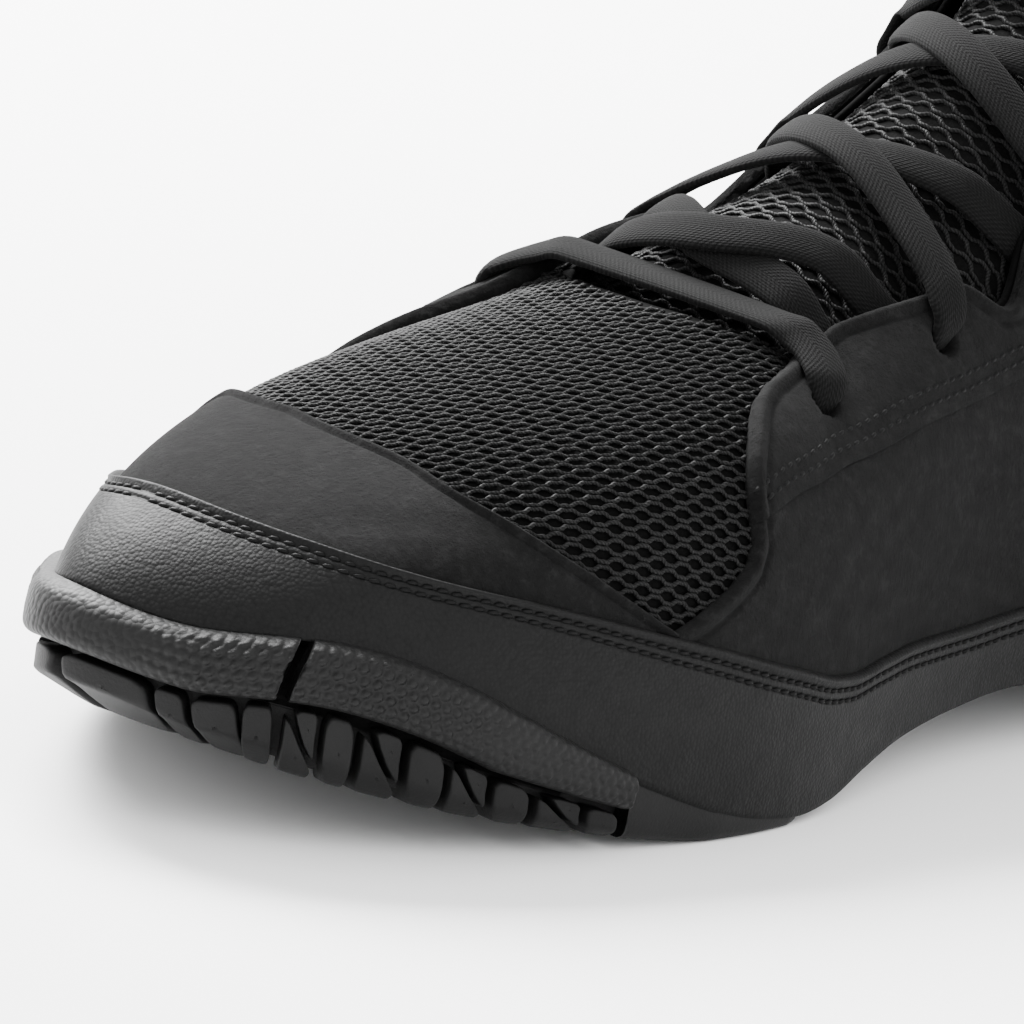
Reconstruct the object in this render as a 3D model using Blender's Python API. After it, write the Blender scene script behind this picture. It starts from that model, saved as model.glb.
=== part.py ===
"""A lace-up wrestling shoe for the right foot, built as separate named pieces.

Lengths are metres. The toe points to -X, the medial side is at -Y and the floor is z = 0.
The origin is on the floor, in the middle of the flat under the ball of the foot.
"""

import math
from collections import namedtuple

import bmesh
import bpy
import numpy as np

# Sizes.
LENGTH = 0.285            # toe edge to heel edge of the upper's lower line
BALL_WIDTH = 0.094        # width of that line at the ball
THROAT_GAP = 0.044        # between the two eyelet edges
COLLAR_WIDTH = 0.062      # across the collar
THROAT_HEIGHT = 0.0595    # floor to the front of the throat
SHAFT_HEIGHT = 0.150      # floor to the collar
EDGE_HEIGHT = 0.0205      # floor to the upper's lower line at the toe tip
TOE_SPRING = 0.0155       # floor to the tread at the toe tip
BAND = 0.025              # unit for the heights of the rand and the toe bumper
WALL = 0.0020             # thickness of the upper
GAP = 0.0003              # air between neighbouring pieces
SEAM = 0.0006             # open joint between two panels side by side
RAND_THICK = 0.0016
PANEL_THICK = 0.0011
EYESTAY_THICK = 0.0013
EYESTAY_WIDTH = 0.0158
EYELET_R = 0.0025
EYELET_SIDES = 6
TONGUE_THICK = 0.0028
TONGUE_TUCK = 0.0135      # how far the tongue runs in under the throat edge
LACE_WIDTH = 0.0060
LACE_THICK = 0.0015
INSOLE_THICK = 0.0025
SHANK_THICK = 0.0030
NOTCH_DEPTH = 0.0065      # dip of the throat edge between two eyelets
PAD_END = 0.345           # where the forefoot pad stops, share of LENGTH
HEEL_FRONT = 0.725        # where the heel pad starts, share of LENGTH
FLAT = (0.282, 0.312, PAD_END)     # columns of the pad's flat underside, shares of LENGTH
MOUNT_ALONG = 0.305       # the origin, share of LENGTH
MOUNT_OUT = 0.0           # the origin, share of BALL_WIDTH

# One rib of the upper per row, from the toe tip round the medial side to the heel and back.
# along, edge_along: shares of LENGTH. out, lean, spread: shares of BALL_WIDTH.
# edge_gap: share of half THROAT_GAP. edge_collar: share of half COLLAR_WIDTH.
# edge_up: from THROAT_HEIGHT (0) to SHAFT_HEIGHT (1). rise, drop: shares of the rib's height.
# low, top: lower and upper edge of the rand, shares of BAND above the lower line.
COLUMNS_OF_RIB = "name along out edge_along edge_gap edge_collar edge_up rise lean spread drop low top"
Rib = namedtuple("Rib", COLUMNS_OF_RIB)
RIBS = [
    Rib("toe_tip", .005, -.030, .372, .00, 0, .000, .61, -.010, .55, .31, .30, 1.02),
    Rib("toe_medial", .019, -.205, .373, -.27, 0, .000, .60, -.005, .51, .29, .26, .95),
    Rib("toe_corner_medial", .063, -.352, .377, -.55, 0, -.004, .58, .010, .40, .24, .38, .93),
    Rib("joint_front", .158, -.458, .383, -.75, 0, -.012, .55, .020, .30, .16, .27, .98),
    Rib("ball_medial", .288, -.489, .393, -.92, 0, -.020, .50, .025, .20, .12, -.03, .79),
    Rib("behind_ball_medial", .393, -.420, .437, -1.02, 0, .022, .46, .020, .15, .14, -.13, .50),
    Rib("waist_medial", .509, -.330, .512, -1.045, 0, .083, .42, .040, .09, .20, -.135, .33),
    Rib("instep_medial", .625, -.300, .596, -1.0, 0, .238, .40, .070, .09, .28, -.135, .42),
    Rib("ankle_medial", .719, -.319, .663, -.93, 0, .503, .38, .070, .08, .32, -.135, .54),
    Rib("shaft_medial", .807, -.346, .700, -.30, -.40, 1.00, .36, .050, .06, .36, -.135, .66),
    Rib("heel_medial", .898, -.330, .825, 0, -.98, 1.01, .36, .050, .02, .36, -.135, .74),
    Rib("counter_medial", .968, -.197, .933, 0, -.62, 1.02, .38, .060, -.04, .36, -.135, .78),
    Rib("heel_back", .989, .000, .970, 0, .00, 1.02, .38, .060, -.05, .36, -.135, .80),
    Rib("counter_lateral", .968, .197, .933, 0, .62, 1.02, .38, .060, -.04, .36, -.135, .78),
    Rib("heel_lateral", .898, .340, .825, 0, .98, 1.01, .36, .050, .02, .36, -.135, .74),
    Rib("shaft_lateral", .807, .367, .700, .30, .40, 1.00, .36, .050, .06, .36, -.135, .66),
    Rib("ankle_lateral", .719, .378, .663, .93, 0, .503, .38, .050, .08, .32, -.135, .58),
    Rib("instep_lateral", .625, .404, .596, 1.0, 0, .238, .40, .045, .10, .28, -.135, .54),
    Rib("waist_lateral", .509, .441, .512, 1.045, 0, .083, .42, .030, .13, .22, -.135, .54),
    Rib("behind_ball_lateral", .404, .489, .437, 1.02, 0, .030, .46, .020, .17, .14, -.13, .64),
    Rib("ball_lateral", .305, .508, .394, .92, 0, -.006, .48, .015, .24, .12, -.03, .82),
    Rib("small_toe", .200, .430, .384, .75, 0, -.006, .47, .010, .31, .24, .27, .96),
    Rib("toe_corner_lateral", .110, .275, .377, .55, 0, -.002, .51, .000, .40, .30, .38, .96),
    Rib("toe_lateral", .040, .100, .373, .27, 0, .000, .58, -.005, .49, .33, .28, 1.00),
]
COUNT = len(RIBS)
HALF = COUNT // 2

# Side view of the sole edge. along: share of LENGTH. tread: share of TOE_SPRING.
# edge: height of the upper's lower line, share of EDGE_HEIGHT.
Station = namedtuple("Station", "along tread edge")
STATIONS = [
    Station(.000, 1.00, 1.000),
    Station(.026, .790, .960),
    Station(.049, .670, .900),
    Station(.098, .465, .707),
    Station(.140, .315, .527),
    Station(.175, .215, .400),
    Station(.211, .120, .302),
    Station(.246, .040, .238),
    Station(.274, .000, .200),
    Station(.298, .000, .185),
    Station(.333, .000, .185),
    Station(.368, .000, .244),
    Station(.404, .000, .390),
    Station(.439, .000, .512),
    Station(.491, .000, .600),
    Station(.551, .000, .659),
    Station(.632, .000, .659),
    Station(.719, .000, .600),
    Station(1.00, .000, .600),
]

# Side lugs of the tread: start and end of each, in shares of LENGTH round the edge from the toe tip.
Lug = namedtuple("Lug", "start end")
LUGS = [
    Lug(.0490, .0625), Lug(.0656, .0853), Lug(.0881, .1007), Lug(.1060, .1200), Lug(.1235, .1365),
    Lug(.1407, .1593), Lug(.1632, .1811), Lug(.1849, .2039), Lug(.2077, .2270), Lug(.2323, .2568),
    Lug(.2611, .2793),
]
TIP_LUG_END = .0456
SLOTS = [.1033, .2830]     # the two flex slots of the toe bumper, same measure
LUG_IN = 0.0030            # how deep the gaps between lugs cut in
BUMPER_PROUD = 0.0024      # how far the toe bumper stands out past the rand
BUMPER_TALL = 0.0066
BUMPER_WALL = 0.0005       # least thickness of the bumper beside the upper

# Eyelets of the medial side: place along the ribs and distance from the throat edge.
Eyelet = namedtuple("Eyelet", "rib inset")
EYELETS = [
    Eyelet(3.83, .0134), Eyelet(5.44, .0068), Eyelet(6.52, .0068),
    Eyelet(7.46, .0068), Eyelet(8.20, .0068), Eyelet(8.74, .0068),
]
NOTCH_RIB = 6.10           # the rib at which the throat edge dips
NOTCH_HALF = 0.36          # half the width of the dip, in ribs

# Front edge of the eyestay, above and below its foremost point: rib and share of the rib.
LOBE_TOP = [(2.56, .785), (2.86, .885), (3.33, .945), (3.83, .978), (4.20, .992), (4.60, 1.0)]
LOBE_FOOT = [(2.56, .765), (2.80, .690), (3.10, .605), (3.40, .535)]
PANEL_FRONT = 3.40         # the rib where the quarter starts
# Rear edge of the toe cap: rib (both sides alike) and share of the rib.
CAP_EDGE = [(.00, .570), (.81, .530), (1.62, .455), (2.41, .385), (2.73, .358), (3.04, .328), (3.33, .300)]


# Curves.
def closed_curve(values):
    """The smooth closed curve through one value per rib: a periodic cubic spline."""
    values = np.asarray(values, float)
    count = len(values)
    after, before = np.roll(values, -1), np.roll(values, 1)
    matrix = 4 * np.eye(count) + np.roll(np.eye(count), 1, 0) + np.roll(np.eye(count), -1, 0)
    slopes = np.linalg.solve(matrix, 3 * (after - before))

    def at(s):
        s = np.asarray(s, float) % count
        i = np.floor(s).astype(int) % count
        j = (i + 1) % count
        u = s - np.floor(s)
        return (values[i] * (1 + 2 * u) * (1 - u) ** 2 + values[j] * u * u * (3 - 2 * u)
                + slopes[i] * u * (1 - u) ** 2 - slopes[j] * u * u * (1 - u))

    return at


def open_curve(places, values):
    """A smooth curve through the values at the places that never overshoots: a monotone cubic."""
    x, y = np.asarray(places, float), np.asarray(values, float)
    h, d = np.diff(x), np.diff(y) / np.diff(x)
    m = np.zeros(len(x))
    for k in range(1, len(x) - 1):
        if d[k - 1] * d[k] > 0:
            w1, w2 = 2 * h[k] + h[k - 1], h[k] + 2 * h[k - 1]
            m[k] = (w1 + w2) / (w1 / d[k - 1] + w2 / d[k])
    m[0], m[-1] = d[0], d[-1]

    def at(v):
        v = np.clip(np.asarray(v, float), x[0], x[-1])
        i = np.clip(np.searchsorted(x, v) - 1, 0, len(h) - 1)
        u = (v - x[i]) / h[i]
        return (y[i] * (1 + 2 * u) * (1 - u) ** 2 + y[i + 1] * u * u * (3 - 2 * u)
                + h[i] * (m[i] * u * (1 - u) ** 2 - m[i + 1] * u * u * (1 - u)))

    return at


CURVES = {name: closed_curve([getattr(rib, name) for rib in RIBS]) for name in Rib._fields[1:]}
ALONGS = np.array([station.along for station in STATIONS]) * LENGTH
tread_height = open_curve(ALONGS, np.array([station.tread for station in STATIONS]) * TOE_SPRING)
edge_height = open_curve(ALONGS, np.array([station.edge for station in STATIONS]) * EDGE_HEIGHT)
UP = np.array([0.0, 0.0, 1.0])
ORIGIN = np.array([MOUNT_ALONG * LENGTH, MOUNT_OUT * BALL_WIDTH, 0.0])


def unit(vectors):
    return vectors / np.maximum(np.linalg.norm(vectors, axis=-1, keepdims=True), 1e-12)


def low_line(s):
    """The upper's lower line, where it meets the sole."""
    along = CURVES["along"](s) * LENGTH
    out = CURVES["out"](s) * BALL_WIDTH
    return np.stack([along, out, edge_height(along)], -1)


def top_line(s):
    """The throat edge and the collar, without the dips between the eyelets."""
    along = CURVES["edge_along"](s) * LENGTH
    out = CURVES["edge_gap"](s) * THROAT_GAP / 2 + CURVES["edge_collar"](s) * COLLAR_WIDTH / 2
    up = THROAT_HEIGHT + CURVES["edge_up"](s) * (SHAFT_HEIGHT - THROAT_HEIGHT)
    return np.stack([along, out, up], -1)


def outward(s):
    """Level unit vector that points out of the outline."""
    way = low_line(s + 1e-3) - low_line(s - 1e-3)
    return unit(np.stack([way[..., 1], -way[..., 0], 0 * way[..., 0]], -1))


def upper_point(s, t):
    """A point of the upper's outer face: rib s, share t of the rib from the lower line to the edge.

    Each rib is a cubic Bezier curve that rises from the lower line and comes over to the top line.
    """
    s, t = np.broadcast_arrays(np.asarray(s, float), np.asarray(t, float))
    low, high, out = low_line(s), top_line(s), outward(s)
    tall = (high - low)[..., 2:3]
    p1 = low + CURVES["rise"](s)[..., None] * tall * UP + CURVES["lean"](s)[..., None] * BALL_WIDTH * out
    p2 = high + CURVES["spread"](s)[..., None] * BALL_WIDTH * out - CURVES["drop"](s)[..., None] * tall * UP
    t = t[..., None]
    return (1 - t) ** 3 * low + 3 * (1 - t) ** 2 * t * p1 + 3 * (1 - t) * t ** 2 * p2 + t ** 3 * high


def upper_normal(s, t):
    """Unit vector out of the upper's outer face."""
    step = 1e-3
    s, t = np.broadcast_arrays(np.asarray(s, float), np.asarray(t, float))
    round_way = upper_point(s + step, t) - upper_point(s - step, t)
    up_way = upper_point(s, np.clip(t + step, 0, 1)) - upper_point(s, np.clip(t - step, 0, 1))
    return unit(np.cross(round_way, up_way))


RIB_CACHE = {}


def rib_run(s):
    """Shares and distances from the lower line at closely spaced points of rib s."""
    key = round(float(s) % COUNT, 6)
    if key not in RIB_CACHE:
        t = np.linspace(0, 1, 161)
        line = upper_point(np.full(t.size, key), t)
        steps = np.linalg.norm(np.diff(line, axis=0), axis=1)
        RIB_CACHE[key] = (t, np.concatenate([[0.0], np.cumsum(steps)]))
    return RIB_CACHE[key]


def share_at(s, run):
    """Share of rib s that lies a given distance from the lower line."""
    s, run = np.broadcast_arrays(np.asarray(s, float), np.asarray(run, float))
    result = [np.interp(r, rib_run(a)[1], rib_run(a)[0]) for a, r in zip(s.ravel(), run.ravel())]
    return np.array(result).reshape(s.shape)


def share_from_top(s, inset):
    """Share of rib s that lies a given distance below the top line."""
    s, inset = np.broadcast_arrays(np.asarray(s, float), np.asarray(inset, float))
    result = [np.interp(rib_run(a)[1][-1] - r, rib_run(a)[1], rib_run(a)[0])
              for a, r in zip(s.ravel(), inset.ravel())]
    return np.array(result).reshape(s.shape)


def notch_dip(s):
    """How far the throat edge dips at rib s, the same on both sides."""
    s = np.asarray(s, float) % COUNT
    side = np.minimum(s, COUNT - s)
    share = np.clip(np.abs(side - NOTCH_RIB) / NOTCH_HALF, 0, 1)
    return NOTCH_DEPTH * np.cos(share * math.pi / 2) ** 2


def edge_share(s):
    """Share of rib s at the real throat edge, dips included."""
    return share_from_top(s, notch_dip(s))


def skin(s, share, lift):
    """A point held at a distance off the upper's outer face."""
    return upper_point(s, share) + upper_normal(s, share) * np.asarray(lift)[..., None]


def skin_run(s, run, lift):
    """The same by distance from the lower line; below that line the face carries on straight down."""
    s, run = np.broadcast_arrays(np.asarray(s, float), np.asarray(run, float))
    share = share_at(s, np.maximum(run, 0))
    face = upper_point(s, share)
    way = np.where((run < 0)[..., None], outward(s), upper_normal(s, share))
    return face + way * lift + np.minimum(run, 0)[..., None] * UP


# Meshes.
def material(name, colour, roughness, metallic=0.0):
    made = bpy.data.materials.new(name)
    made.use_nodes = True
    shader = made.node_tree.nodes["Principled BSDF"]
    shader.inputs["Base Color"].default_value = (*colour, 1.0)
    shader.inputs["Roughness"].default_value = roughness
    shader.inputs["Metallic"].default_value = metallic
    made.diffuse_color = (*colour, 1.0)
    return made


def add_object(name, points, faces, paint, smooth=True):
    """Make one closed object from points in shoe measure and faces, with its faces turned outward."""
    mesh = bpy.data.meshes.new(name)
    placed = np.asarray(points, float) - ORIGIN
    mesh.from_pydata([tuple(p) for p in placed], [], [tuple(int(i) for i in f) for f in faces])
    mesh.validate()
    form = bmesh.new()
    form.from_mesh(mesh)
    bmesh.ops.remove_doubles(form, verts=form.verts, dist=1e-7)
    bmesh.ops.triangulate(form, faces=form.faces)
    bmesh.ops.recalc_face_normals(form, faces=form.faces)
    form.to_mesh(mesh)
    form.free()
    for polygon in mesh.polygons:
        polygon.use_smooth = smooth
    item = bpy.data.objects.new(name, mesh)
    item.data.materials.append(paint)
    bpy.context.scene.collection.objects.link(item)
    return item


def slab(name, outer, inner, paint, closed=False):
    """A sheet with two faces, each a grid of points, and the edges between them filled."""
    rows, columns = outer.shape[:2]
    points = np.concatenate([outer.reshape(-1, 3), inner.reshape(-1, 3)])
    back = rows * columns
    faces = []
    last = rows if closed else rows - 1
    for i in range(last):
        for j in range(columns - 1):
            a, b = i * columns + j, ((i + 1) % rows) * columns + j
            faces.append((a, b, b + 1, a + 1))
            faces.append((back + a, back + a + 1, back + b + 1, back + b))
    for i in range(last):
        for j in (0, columns - 1):
            a, b = i * columns + j, ((i + 1) % rows) * columns + j
            faces.append((a, b, back + b, back + a))
    if not closed:
        for i in (0, rows - 1):
            for j in range(columns - 1):
                a = i * columns + j
                faces.append((a, a + 1, back + a + 1, back + a))
    return add_object(name, points, faces, paint)


def plate(name, rings, paint, smooth=False):
    """A solid from rings of points, first ring at the bottom, last at the top.

    Each ring runs from one end of the foot down the medial side and back up the lateral side.
    Point k of the medial half faces point k of the lateral half, and the end faces join them.
    """
    count = len(rings[0])
    points = np.concatenate(rings)
    faces = []
    for level in range(len(rings) - 1):
        for i in range(count):
            a, b = level * count + i, level * count + (i + 1) % count
            faces.append((a, b, b + count, a + count))
    top = (len(rings) - 1) * count
    for base in (0, top):
        for i in range(count // 2 - 1):
            a, b = base + i, base + count - 1 - i
            faces.append((a, b, b - 1, a + 1))
    return add_object(name, points, faces, paint, smooth)


def cut(target, cutters):
    """Subtract closed tools from the target."""
    for tool in cutters:
        change = target.modifiers.new("cut_" + tool.name, "BOOLEAN")
        change.operation = "DIFFERENCE"
        change.solver = "EXACT"
        change.object = tool


# Start.
for old in list(bpy.data.objects):
    bpy.data.objects.remove(old, do_unlink=True)

black_mesh = material("black_mesh_fabric", (.030, .030, .031), .85)
suede = material("black_suede", (.036, .035, .035), .90)
rand_leather = material("black_rand_leather", (.022, .022, .023), .62)
outsole_rubber = material("black_rubber", (.025, .025, .026), .70)
shank_foam = material("black_shank_foam", (.020, .020, .021), .75)
sock_cloth = material("black_sock_cloth", (.028, .028, .030), .92)
tongue_cloth = material("black_tongue_mesh", (.032, .032, .033), .88)
lace_cloth = material("black_lace_cord", (.022, .022, .024), .90)

# Upper.
half = np.concatenate([
    [0, .4, .8, 1.2, 1.6, 2.08], [2.56, 3.0, PANEL_FRONT, 4.0, 4.5, 5.0, 5.4],
    NOTCH_RIB + NOTCH_HALF * np.array([-1, -.5, 0, .5, 1]), [6.9, 7.4, 7.9, 8.4, 8.8, 9.15, 9.38, 9.44, 9.8],
    [10.2, 10.6, 11.0, 11.4, 11.7, 11.97, 12.0]])
COLUMNS = np.unique(np.concatenate([half, COUNT - half[1:]]))
ROWS = np.array([0, .11, .22, .33, .45, .57, .69, .80, .90, 1.0])


def row_shares(s):
    """Shares of the ribs at the upper's own rows of points, the throat edge's dips included."""
    return ROWS[None, :] * edge_share(s)[:, None]


share = row_shares(COLUMNS)
ribs = COLUMNS[:, None]
flat = 0 * share
upper = slab("upper", skin(ribs, share, flat), skin(ribs, share, flat - WALL), black_mesh, closed=True)

# Rand.
low = CURVES["low"](COLUMNS) * BAND
high = CURVES["top"](COLUMNS) * BAND
own_rows = np.array([np.interp(row, *rib_run(s)) for s, row in zip(COLUMNS, row_shares(COLUMNS))])[:, :4]
own_rows[:, 0] = low
own_rows[:, -1] = high
run = np.clip(own_rows, low[:, None], high[:, None])
slab("rand", skin_run(ribs, run, GAP + RAND_THICK), skin_run(ribs, run, GAP), rand_leather, closed=True)


# Panels.
def rand_share(s):
    """Share of the rib where the panels above the rand start."""
    return share_at(s, CURVES["top"](s) * BAND + SEAM)


def band_share(s, width):
    """Share of each rib at which it has come a given distance from the throat edge."""
    edge = upper_point(np.linspace(4.3, 9.0, 400), 1.0)
    result = []
    for rib in np.ravel(s):
        side = COUNT - rib if rib > HALF else rib
        t = np.linspace(1, .3, 141)
        line = upper_point(np.full(t.size, side), t)
        away = np.linalg.norm(line[:, None] - edge[None], axis=2).min(1)
        beyond = np.nonzero(away > width)[0]
        k = max(int(beyond[0]), 1)
        mix = np.clip((width - away[k - 1]) / (away[k] - away[k - 1]), 0, 1)
        result.append(t[k - 1] + (t[k] - t[k - 1]) * mix)
    return np.array(result)


def panel(name, first, last, low_share, high_share, thick):
    """A panel over the upper's own columns and rows, so that it keeps its distance from them.

    The bounds are shares of the rib at each column. Rows beyond a bound fold into it.
    """
    s = COLUMNS[(COLUMNS >= min(first, last) - 1e-6) & (COLUMNS <= max(first, last) + 1e-6)]
    if first < 0:
        s = np.concatenate([COLUMNS[COLUMNS >= COUNT + first - 1e-6], COLUMNS[COLUMNS <= last + 1e-6]])
    low, high = low_share(s), high_share(s)
    share = np.clip(row_shares(s), low[:, None], high[:, None])
    share[:, 0], share[:, -1] = low, high
    lift = np.full(share.shape, GAP)
    ribs = s[:, None]
    return slab(name, skin(ribs, share, lift + thick), skin(ribs, share, lift), suede)


def holes(lateral):
    """Closed round tools for the eyelets of one side."""
    tools = []
    for k, eyelet in enumerate(EYELETS):
        s = COUNT - eyelet.rib if lateral else eyelet.rib
        share_here = float(share_from_top(s, eyelet.inset))
        centre, way = upper_point(s, share_here), upper_normal(s, share_here)
        across = unit(np.cross(way, UP))
        along = np.cross(way, across)
        ring = [centre + EYELET_R * (math.cos(a) * across + math.sin(a) * along)
                for a in np.arange(EYELET_SIDES) * 2 * math.pi / EYELET_SIDES]
        points = [p - way * .006 for p in ring] + [p + way * .006 for p in ring]
        n = EYELET_SIDES
        faces = [tuple(range(n)), tuple(range(2 * n - 1, n - 1, -1))]
        faces += [(i, (i + 1) % n, n + (i + 1) % n, n + i) for i in range(n)]
        tool = add_object("eyelet_tool_%d_%d" % (int(lateral), k), points, faces, suede, smooth=False)
        tool.hide_render = True
        tool.display_type = "WIRE"
        tools.append(tool)
    return tools


lobe_top = open_curve([p[0] for p in LOBE_TOP], [p[1] for p in LOBE_TOP])
lobe_foot = open_curve([p[0] for p in LOBE_FOOT], [p[1] for p in LOBE_FOOT])
BAND_START = 4.6


def side_rib(s):
    return np.where(s > HALF, COUNT - s, s)


def eyestay_low(s):
    """The lobe's lower edge, then the seam, which runs in at an even distance from the throat edge."""
    side = side_rib(s)
    start = float(band_share([BAND_START], EYESTAY_WIDTH)[0])
    ease = np.clip((side - PANEL_FRONT) / (BAND_START - PANEL_FRONT), 0, 1)
    between = LOBE_FOOT[-1][1] + (start - LOBE_FOOT[-1][1]) * ease
    low = np.where(side < PANEL_FRONT, lobe_foot(side), between)
    return np.where(side > BAND_START, band_share(np.maximum(side, BAND_START), EYESTAY_WIDTH), low)


def eyestay_high(s):
    return np.minimum(lobe_top(side_rib(s)), 1.0) * edge_share(s)


def quarter_high(s):
    side = side_rib(s)
    seam = np.where(side < 9.41, eyestay_low(np.minimum(side, 9.40)) - .012, .985)
    return np.minimum(seam, .985)


for lateral, side in ((False, "medial"), (True, "lateral")):
    ends = (COUNT - 9.38, COUNT - 2.56) if lateral else (2.56, 9.38)
    eyestay = panel("eyestay_" + side, *ends, eyestay_low, eyestay_high, EYESTAY_THICK)
    tools = holes(lateral)
    cut(eyestay, tools)
    cut(upper, tools)
    ends = (HALF + .03, COUNT - PANEL_FRONT) if lateral else (PANEL_FRONT, HALF - .03)
    panel("quarter_" + side, *ends, rand_share, quarter_high, PANEL_THICK)

cap_curve = open_curve([p[0] for p in CAP_EDGE], [p[1] for p in CAP_EDGE])
panel("toe_cap", -3.05, 3.05, rand_share, lambda s: cap_curve(side_rib(s)), PANEL_THICK)

# Sole.
arc_ribs = np.linspace(0, HALF, 1201)


def arc_table(sign):
    """Distance round the edge from the toe tip to each rib of one side."""
    line = low_line(sign * arc_ribs)
    return np.concatenate([[0], np.cumsum(np.linalg.norm(np.diff(line[:, :2], axis=0), axis=1))])


ARC = {1: arc_table(1), -1: arc_table(-1)}


def rib_at_arc(arc, sign):
    return sign * np.interp(arc, ARC[sign], arc_ribs)


def rib_at_along(along, sign, first=0.0, last=HALF):
    """Rib of one side whose foot is at a place along the shoe."""
    s = np.linspace(first, last, 2001)
    return sign * np.interp(along, CURVES["along"](sign * s) * LENGTH, s)


# Columns of the forefoot pad, by distance round the edge: every lug and slot edge is a column.
Mark = namedtuple("Mark", "arc gap slot")
step = .0010 * LENGTH
marks = [Mark(TIP_LUG_END * LENGTH * f, 0, 0) for f in (.06, .30, .55, .80, 1.0)]
for index, lug in enumerate(LUGS):
    before = (LUGS[index - 1].end if index else TIP_LUG_END) * LENGTH
    start, end = lug.start * LENGTH, lug.end * LENGTH
    slotted = int(before <= SLOTS[0] * LENGTH <= start)
    marks += [Mark(before + step, 1, slotted), Mark(start - step, 1, slotted)]
    marks += [Mark(start, 0, 0), Mark(end, 0, 0)]
slot = SLOTS[1] * LENGTH
marks += [Mark(slot - 2 * step, 1, 1), Mark(slot + 2 * step, 1, 1)]
marks += [Mark(slot + 3 * step, 0, 0), Mark(slot + .006, 0, 0)]

medial, lateral = [], []
for side, sign in ((medial, 1), (lateral, -1)):
    side += [(float(rib_at_arc(mark.arc, sign)), mark.gap, mark.slot) for mark in marks]
    side += [(float(rib_at_along(place * LENGTH, sign, 2.0, 6.0)), 0, 0) for place in FLAT]


def pair_ring(medial_ribs, lateral_ribs, lengthwise):
    """Ribs round the outline, the outward direction at each, with the last pair leaning lengthwise."""
    ribs = np.array(list(medial_ribs) + list(lateral_ribs)[::-1])
    way = outward(ribs)
    last = len(medial_ribs)
    way[last - 1, 0] += lengthwise
    way[last, 0] += lengthwise
    return ribs, way


def ring_at(ribs, way, height, offset):
    """Ring points at given heights, offset from the upper's face or from its lower line below it."""
    foot = low_line(ribs)
    run = np.maximum(height - foot[:, 2], 0)
    base = skin_run(ribs, run, 0.0)
    points = base + way * np.broadcast_to(offset, ribs.shape)[:, None]
    points[:, 2] = height
    return points


ribs, way = pair_ring([m[0] for m in medial], [m[0] for m in lateral], 1.0)
gap = np.array([m[1] for m in medial] + [m[1] for m in lateral][::-1], float)
slot = np.array([m[2] for m in medial] + [m[2] for m in lateral][::-1], float)
foot = low_line(ribs)
bottom = tread_height(foot[:, 0])
top = foot[:, 2] - GAP
brim = skin_run(ribs, CURVES["low"](ribs) * BAND, 0.0)[:, 2] - SEAM - GAP
under = np.maximum(brim - BUMPER_TALL, bottom + .45 * (brim - bottom))
tall = under - bottom
plain = np.clip((foot[:, 0] / LENGTH - .210) / .040, 0, 1)
FLUSH = GAP + RAND_THICK
proud = BUMPER_PROUD * (1 - plain)
groove = .0016 * (1 - plain)
face = np.where(slot > 0, -.0010, proud)
clear = -.0010 + .0018 * np.clip((brim - top) / .0012, 0, 1)
level = np.abs(brim - top) < .0004      # columns where the bumper's edge meets the height of the pad's top
edge = np.where(level, top, brim)


def side_ring(height, offset):
    """A ring of the side wall, kept outside the bumper's inner wall, which starts at the height top."""
    depth = np.maximum(top - .0012 - height, 0)
    return ring_at(ribs, way, height, np.maximum(offset, clear + BUMPER_WALL - 1.5 * depth))


rings = [
    ring_at(ribs, way, bottom, -.0060),
    ring_at(ribs, way, bottom + gap * .16 * tall, -.0030),
    ring_at(ribs, way, bottom + gap * .34 * tall, .0002 - gap * .0008),
    side_ring(bottom + np.minimum(.0006, .30 * tall) + .30 * tall, FLUSH - gap * LUG_IN),
    side_ring(bottom + .84 * tall, FLUSH - .0003 - gap * LUG_IN),
    side_ring(under, FLUSH - groove - gap * LUG_IN * .5),
    ring_at(ribs, way, under + .14 * (brim - under), FLUSH + face * .95),
    ring_at(ribs, way, brim - .12 * (brim - under), FLUSH + face * .90),
    ring_at(ribs, way, edge, clear),
    ring_at(ribs, way, top, clear - .0002 * level),
    ring_at(ribs, way, top, -.0040),
]
plate("outsole_forefoot", rings, outsole_rubber)


def shared_ribs(shares, sign):
    """Ribs at equal shares of each side's edge, from the toe tip (0) to the heel (1)."""
    return [float(rib_at_arc(q * ARC[sign][-1], sign)) for q in shares]


shares = np.array([.012, .035, .06, .09, .12, .16, .20, .24, .28, .32, .36, .40, .44, .48, .54, .60,
                   .66, .72, .78, .84, .88, .91, .935, .958, .978, .994])
ribs, way = pair_ring(shared_ribs(shares, 1), shared_ribs(shares, -1), 0.0)
height = low_line(ribs)[:, 2] + .0001
rings = [ring_at(ribs, way, height, -.0033), ring_at(ribs, way, height + .0005, -.0028),
         ring_at(ribs, way, height + INSOLE_THICK - .0005, -.0029),
         ring_at(ribs, way, height + INSOLE_THICK, -.0035)]
plate("insole", rings, sock_cloth)


def rear_pairs(front_along):
    """Pairs of ribs from the heel forward to a place along the shoe."""
    sides = []
    for sign in (1, -1):
        end = float(rib_at_along(front_along, sign, 2.0, 11.5))
        ribs = [q for q in shared_ribs(shares[::-1], sign)
                if CURVES["along"](q) * LENGTH > front_along + .009 or abs(q) > 11.5]
        sides.append([q for q in ribs if abs(q) > abs(end)] + [end])
    fewest = min(len(side) for side in sides)
    return [side[:fewest - 1] + side[-1:] for side in sides]


SHANK_FRONT = PAD_END * LENGTH + FLUSH + SEAM
medial_ribs, lateral_ribs = rear_pairs(SHANK_FRONT)
ribs, way = pair_ring(medial_ribs, lateral_ribs, -1.0)
height = low_line(ribs)[:, 2] - GAP
rings = [ring_at(ribs, way, height - SHANK_THICK, -.0012),
         ring_at(ribs, way, height - SHANK_THICK + .0008, -.0002), ring_at(ribs, way, height, -.0002)]
plate("shank", rings, shank_foam)

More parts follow.
